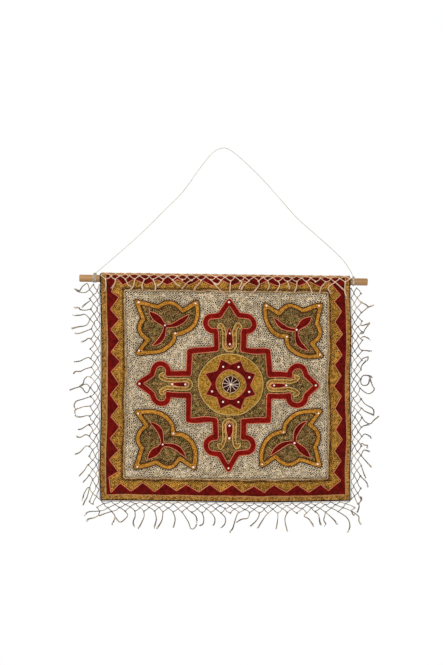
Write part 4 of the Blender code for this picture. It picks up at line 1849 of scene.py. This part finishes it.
print("knots in an upright net", 2 * (2 * UPRIGHT_LOOPS + 1))


# %% [markdown]
# No two tassels hang alike: some curl, some have tangled with their neighbour, and near the corners they
# fan out. So each one has its own line. The lines are noted as pixels of the photograph, from the net
# outwards, which are easy to check against it, and one small helper turns them into places of the piece.

# %% Lines of the tassels
TASSEL_LINES = {
    "left": (
        ((91, 284), (87.8, 283.8), (83, 286.5), (80, 290.8), (76.5, 289)),
        ((92, 292.3), (85.5, 292.6), (79, 291.8), (74.8, 289)),
        ((95, 298.2), (91, 300.3), (86.5, 303.6), (82, 307.4)),
        ((90.6, 308.7), (86, 310.2), (81, 309.7), (79, 307.7), (74.3, 307.9)),
        ((91.6, 314.3), (85.5, 314.5), (80, 315.3), (72.8, 315.6)),
        ((91.4, 322.7), (88.5, 323.4), (85.5, 325.8), (79, 326.8), (72, 328.6)),
        ((91.1, 330.6), (88.5, 330.2), (84, 331.9), (79.4, 333.4), (75, 333.4)),
        ((91.1, 338.3), (88.5, 338.4), (85.5, 340.6), (81.4, 342.3)),
        ((91.6, 357.7), (88.6, 357.4), (84.5, 358.9), (80.4, 361), (74.3, 361.7)),
        ((89.8, 367.9), (85.5, 368.9), (81, 371.2), (76, 371.4), (73.8, 373.7)),
        ((92.7, 375.3), (87.6, 376.5), (84.5, 379.6), (83.7, 383.2), (80, 386.5)),
        ((91.6, 383.4), (86.5, 383.9), (80, 386.5), (74.3, 388.3), (70, 390)),
        ((90.6, 391.6), (87.8, 392.6), (85, 391.3), (83, 388.3), (80, 386.5)),
        ((89.1, 398.2), (83, 399), (76.8, 401), (74.5, 405.1), (76.3, 409.2)),
        ((90.6, 406.4), (84.5, 406.4), (80.4, 407.7), (76.3, 409.2), (75.2, 412.3), (76, 415.8)),
        ((91.6, 414.3), (87, 415.3), (82, 416.6), (77.3, 416.3), (75.8, 414.8)),
        ((93.2, 423.5), (90.1, 423.7), (86, 426), (82, 428.6), (78.4, 429.3)),
        ((91.1, 434.7), (86, 434.4), (82, 436.5), (79, 437), (76.3, 435.7)),
        ((89.8, 444.1), (86, 445.9), (82, 450.3), (79.1, 452.6), (75.3, 453.8)),
        ((90.4, 462.5), (88.1, 464.3), (85.5, 468.9), (82, 473), (79.1, 475.8)),
        ((91.1, 473.7), (87, 478.1), (83, 482.1)),
        ((90.6, 484.4), (88.1, 487.2), (84.5, 493.4), (83, 500.5)),
        ((90.6, 492.3), (87.6, 496.4), (85, 501), (83.5, 505)),
    ),
    "right": (
        ((355.4, 304), (359.5, 302.2), (365, 304.5), (368.1, 307.2)),
        ((357.2, 314.2), (360.4, 313.3), (365, 309.5), (368.1, 307.2), (373.6, 305.2)),
        ((356.8, 323.1), (360.4, 325.4), (365, 324.7), (369.5, 322.9)),
        ((357.2, 331.2), (359.5, 333.5), (362.7, 333.5), (364.5, 329.4), (369.5, 322.9)),
        ((358.6, 338), (360.4, 338.5), (363.6, 336.5), (368.1, 338.5), (369.9, 340.3)),
        ((359.5, 347.5), (364.5, 350.4), (371.3, 351.3)),
        ((358.6, 356.8), (362.2, 358.6), (367.7, 356.8), (367.2, 359.5)),
        ((357.7, 365.2), (361.3, 365.9), (364.5, 361.8), (367.2, 359.5)),
        ((357.2, 374.7), (363.1, 375.4), (369.5, 375.8), (371.8, 377.7)),
        ((357.2, 383.1), (361, 384), (364.5, 385.4), (367.7, 384), (369, 380.4), (369, 376.3)),
        ((361, 392.8), (365, 392.4), (369.5, 393.5), (374, 389.4), (371.8, 384.9), (369, 376.3)),
        ((360.4, 402.4), (365, 404), (371.8, 408), (373.6, 411.2), (373.1, 414.8)),
        ((358.2, 407.1), (361.8, 408), (364.5, 411), (373.8, 415.1)),
        ((360.4, 421.1), (365, 421.6), (369.9, 423.6), (373.6, 420), (378.6, 415.9)),
        ((360, 424.1), (364, 425.4), (367.7, 424.5), (369.9, 423.6)),
        ((359.1, 433.8), (364.5, 433.8), (369.5, 436.1), (371.1, 438.8)),
        ((357.2, 442.7), (361, 442.9), (364.5, 444.9), (367, 445.1), (366.8, 448.1)),
        ((357.2, 451), (363.6, 449.9), (369.5, 451.3)),
        ((358.2, 460.1), (365.9, 461.2), (371.3, 467.1)),
        ((358.8, 469.4), (363.6, 473.5), (365.4, 478)),
        ((359.5, 478), (366, 481.9), (367.5, 486.9)),
        ((356.1, 493.8), (360, 495.7), (361.4, 498.4), (358.4, 503.3), (358.7, 506), (356.8, 512)),
    ),
    "bottom": (
        ((92.9, 506.5), (88.6, 511.4), (85, 515.9)),
        ((102, 509.5), (98.9, 514.4), (95.3, 516.8), (88.6, 518.6), (86.8, 521.7)),
        ((109.2, 508), (103.2, 513.8), (97.7, 516.5)),
        ((118.3, 510.8), (115.3, 516.2), (112.3, 524.4)),
        ((129.5, 509.8), (128, 515), (123.8, 519.8), (120.2, 521.7), (117.7, 519.5), (115.3, 516.2)),
        ((137.4, 510.8), (135.3, 516.2), (133.5, 521.1), (134.4, 527.1)),
        ((145, 510.2), (144.4, 515.6), (142, 521.7), (138.6, 528.3)),
        ((155, 510.8), (156.5, 518.6), (154.1, 527.7)),
        ((164.1, 509.5), (162, 519.8), (157.1, 528.3)),
        ((175, 510.8), (175.3, 518.6), (173.5, 527.1)),
        ((185.3, 511.1), (188.3, 521.1), (191.1, 528.3), (195, 527.1), (197.1, 522.3)),
        ((194.4, 510.8), (196.2, 516.2), (197.1, 522.3)),
        ((203.2, 510.8), (203.8, 518), (202.9, 523.5), (199.2, 525.3)),
        ((212.6, 511.4), (214.7, 517.4), (214.4, 522.9), (212.6, 525)),
        ((223.5, 512), (225.3, 517.4), (224.7, 523.5), (220.5, 527.7)),
        ((241.7, 508.3), (237.4, 513.2), (234.4, 521.7), (232.9, 527.1), (229.8, 532)),
        ((247.7, 510.8), (248.9, 515), (247.1, 517.7), (241.7, 518.6), (235.6, 521.7)),
        ((256.8, 509.2), (258.9, 515), (256.2, 519.8), (250.2, 525.6)),
        ((264.7, 509.5), (263.8, 517.4), (257.4, 527.7)),
        ((274.7, 510.8), (277.4, 519.2), (275.9, 528.9)),
        ((283.5, 510.5), (284.7, 519.2), (287.1, 530.8)),
        ((302, 511.4), (303.8, 515.6), (308.3, 518.3), (313.8, 525.9)),
        ((313.5, 509.5), (318.3, 514.4), (319.5, 521.1), (320.8, 524.7)),
        ((321.7, 509.5), (324.4, 515.6), (323.5, 519.8), (325.6, 523.5), (324.4, 526.2)),
        ((331.1, 509.5), (333.5, 519.2), (337.1, 524.1)),
        ((339.5, 509.5), (346.8, 517.4), (349.5, 525.3), (347.1, 532)),
        ((348, 511.4), (353, 514.4), (355.3, 512.9)),
        ((356.1, 512.1), (358, 515.6), (358.4, 520.2), (360.7, 524)),
    ),
    "top": (
        ((108, 280), (106.5, 286), (105.5, 292)),
        ((116.7, 277), (115.2, 283.3), (112, 288.9)),
        ((126.3, 277), (128.7, 284.9), (132, 287)),
        ((135.9, 280.2), (133.5, 286.5), (129.5, 291.3)),
        ((142.3, 280.2), (142.3, 285.7), (143.9, 290.5)),
        ((155, 280.2), (155.8, 285.7), (155.8, 291.3)),
        ((166.2, 277), (162.2, 282.5), (157.4, 286.5)),
        ((176.6, 278.6), (176.6, 284.1), (180.5, 286.5)),
        ((194.1, 277.8), (187.7, 282.5), (182.1, 288.9)),
        ((201.3, 278), (200.5, 282.5), (195.7, 287.3), (194.1, 291.3)),
        ((213.2, 281), (218.8, 288.9), (226, 295.3)),
        ((221, 280), (218, 284.6), (214, 283)),
        ((230.8, 280.2), (230, 288.9), (230, 295.3)),
        ((241.1, 279), (241.9, 282.5), (238.8, 288.9)),
        ((249.1, 279), (243.5, 285.7), (241, 290)),
        ((257.9, 279.4), (258.7, 285.7), (251.5, 294.5)),
        ((270.6, 280), (269.1, 285.7), (267.5, 290.5)),
        ((278.6, 280), (279.4, 285.7), (275.4, 292.9)),
        ((288.2, 280.2), (289.8, 288.9)),
        ((296.2, 281), (296.2, 287.3), (293.8, 292.9)),
        ((310.5, 281), (309.7, 287.3), (312.1, 293.7)),
        ((321.7, 280.2), (320.9, 287.3), (319.3, 293.7)),
        ((331, 281), (328, 288), (331, 294)),
        ((339.2, 281), (345.6, 292)),
        ((346, 284), (344.5, 292), (347, 299)),
    ),
}


TASSEL_WAVE = 0.0008


def from_picture(pixel, y):
    """The place that a pixel of the photograph shows, at a depth y."""
    x = (pixel[0] - PEAK_PIXEL[0]) * METRES_PER_PIXEL
    z = (PEAK_PIXEL[1] - pixel[1]) * METRES_PER_PIXEL
    return np.array([x, y, z])


def tassel_route(line, knots):
    """A tassel's middle line, from the nearest knot of the net's last row."""
    y = float(np.mean([knot[1] for knot in knots]))
    points = [from_picture(pixel, y) for pixel in line]
    nearest = min(knots, key=lambda knot: np.linalg.norm(knot - points[0]))
    points[0] = nearest
    for step, point in enumerate(points[1:], 1):
        point[1] = nearest[1] + TASSEL_WAVE * math.sin(2.0 * step + line[0][1])
    return points


print("tassels", {side: len(lines) for side, lines in TASSEL_LINES.items()})

# %% [markdown]
# The net is knotted from a thin two-ply cotton: each mesh is four short strands between lumps of knotted
# yarn. A curve object with a round bevel would give smooth wire. We wind two plies round each strand's line
# instead, and a knot is a short fat tube with pinched ends.

# %% Strands and knots
PLY_RADIUS = 0.00066
NET_PITCH = 0.0064
STRAND_STEP = 0.0016
STRAND_SLACK = 0.0020
KNOT_LUMP = 0.0019
LUMP_SHAPE = np.array([0.35, 0.85, 1.0, 0.85, 0.35])


def lump(place, size, drawn):
    """A small knot, turned by chance."""
    angle = drawn.uniform(0.0, math.pi)
    reach = np.array([math.cos(angle), drawn.uniform(-0.3, 0.3), math.sin(angle)]) * size * 1.15
    line = np.array([place - reach, place - reach * 0.5, place, place + reach * 0.5, place + reach])
    return tube(line, size * LUMP_SHAPE, 6)


def strand(box, start, end, drawn, slack=STRAND_SLACK, ply=PLY_RADIUS):
    """One twisted yarn between two knots, a little slack."""
    bow = np.array([drawn.uniform(-1.0, 1.0), drawn.uniform(-0.5, 0.5), drawn.uniform(-1.0, 0.3)]) * slack
    count = max(6, round(np.linalg.norm(end - start) / STRAND_STEP))
    line = smooth_line([start, (start + end) / 2 + bow, end], count)
    box.add_all(plied(line, 2, ply, NET_PITCH, drawn.uniform(0.0, 6.0)))


print("plies of the net are", 2 * PLY_RADIUS * 1000, "mm thick")

# %% [markdown]
# The head rope of a side or lower net runs along the cloth's edge, and a short tie at each of its knots
# holds it there. The tie runs onto the front, through the cloth, and back round the edge from behind.

# %% Ties
TIE_REACH = 0.0046
TIE_LIFT = 0.0014
TIE_SLACK = 0.0002
TIE_PLY = PLY_RADIUS * 0.8
TIE_BACK_AT_HEM = 0.0016
TIE_BACK = 0.0036
INWARD = {"left": (1.0, 0.0), "right": (-1.0, 0.0), "bottom": (0.0, 1.0)}


def tie(box, place, side, drawn):
    """The yarn that holds a knot of the head rope to the cloth."""
    reach = TIE_REACH * drawn.uniform(0.8, 1.1)
    x = place[0] + INWARD[side][0] * reach
    face = on_cloth(x, place[2] + INWARD[side][1] * reach, TIE_LIFT)
    behind = face + np.array([0.0, TIE_BACK_AT_HEM if place[2] > BELOW_HEM else TIE_BACK, 0.0])
    for end in (face, behind):
        strand(box, place, end, drawn, TIE_SLACK, TIE_PLY)
    strand(box, face, behind, drawn, 0.0, TIE_PLY)


print("ties reach", TIE_REACH * 1000, "mm onto the cloth")

# %% [markdown]
# A tassel is the cut end of the yarn. It opens into three loose plies that spread towards the end, and some
# of them stop a little short of the others.

# %% Tassels
TASSEL_PLIES = 3
TASSEL_PLY = PLY_RADIUS * 1.1
TASSEL_POINTS = 18
TASSEL_SPREAD = (0.00055, 0.0011)
PLY_CUTS = (0, 0, 1, 2, 3)


def shortened(points, faces, keep):
    """The first rings of a four-sided tube, closed again at their end."""
    kept = faces[(faces < keep * 4).all(axis=1)]
    end = (keep - 1) * 4
    return points[: keep * 4], np.vstack([kept, (end, end + 1, end + 2, end + 3)])


def tassel(box, route, drawn):
    line = smooth_line(route, TASSEL_POINTS)
    part = np.linspace(0.0, 1.0, TASSEL_POINTS)
    spread = TASSEL_SPREAD[0] + TASSEL_SPREAD[1] * part**2 * drawn.uniform(0.6, 1.5)
    pitch, turn = drawn.uniform(0.012, 0.020), drawn.uniform(0.0, 6.0)
    for ply, (points, faces) in enumerate(plied(line, TASSEL_PLIES, TASSEL_PLY, pitch, turn, spread)):
        cut = drawn.choice(PLY_CUTS)
        if ply and cut:
            points, faces = shortened(points, faces, TASSEL_POINTS - cut)
        box.add(points, faces)


print("plies of a tassel", TASSEL_PLIES)

# %% [markdown]
# Now the four nets are knotted. The side and lower ones hang free and have been pulled about, so the knots
# of their free rows are moved a little more. The upper one lies on the cloth and keeps its places.

# %% Nets
PULL = 0.0014
LAYOUT_SEED = 11
LOOSE_SEED = 111
ROPE_SLACK = 0.0006
ROPE_PLY = PLY_RADIUS * 0.7
ROW_KNOT_SIZES = (0.8, 0.9, 0.95, 1.15)


def pulled(knots, drawn):
    moved = []
    for knot in knots:
        moved.append(knot + np.array([drawn.uniform(-PULL, PULL), 0.0, drawn.uniform(-PULL, PULL)]))
    return moved


def make_net(side, number):
    loops = LEVEL_LOOPS if side in ("top", "bottom") else UPRIGHT_LOOPS
    layout = random.Random(LAYOUT_SEED + number)
    root, first, second, third = net_knots(side, side_length(side), loops, layout)
    loose = random.Random(LOOSE_SEED + number)
    box = Tubes()
    if side != "top":
        first, second, third = (pulled(row, loose) for row in (first, second, third))
        for place in root:
            tie(box, place, side, loose)
    for k in range(loops):
        strand(box, root[k], root[k + 1], loose, ROPE_SLACK, ROPE_PLY)
        for start, end in (
            (root[k], first[k]),
            (root[k + 1], first[k]),
            (first[k], second[k]),
            (first[k], second[k + 1]),
            (second[k], third[k]),
            (second[k + 1], third[k]),
        ):
            strand(box, start, end, loose)
    for row, size in zip((root, first, second, third), ROW_KNOT_SIZES):
        for place in row:
            box.add(*lump(place, KNOT_LUMP * size * loose.uniform(0.9, 1.15), loose))
    for line in TASSEL_LINES[side]:
        tassel(box, tassel_route(line, third), loose)
    return box


# All four nets are knotted from one cotton. The side and lower nets take a darker copy of its colour, which
# is painted shade on their strands. The upper net takes a lighter copy, which is painted light where it lies
# lit on the cloth.
shaded_net_shades = ((104, 95, 80), (132, 120, 100), (126, 102, 78), (176, 160, 134))
shaded_net_yarn = yarn_material("net_cotton_painted_shade", shaded_net_shades, cell=0.014)
lit_top_net_shades = ((206, 170, 140), (222, 192, 164), (214, 180, 150))
lit_top_net_yarn = yarn_material("top_net_cotton_painted_light", lit_top_net_shades, cell=0.012)
for number, side in enumerate(("left", "right", "bottom", "top")):
    box = make_net(side, number)
    net = box.build("net_" + side, lit_top_net_yarn if side == "top" else shaded_net_yarn)
    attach(net, "root")
    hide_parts("fringe_" + side)
    print("net", side, box.triangles(), "triangles")
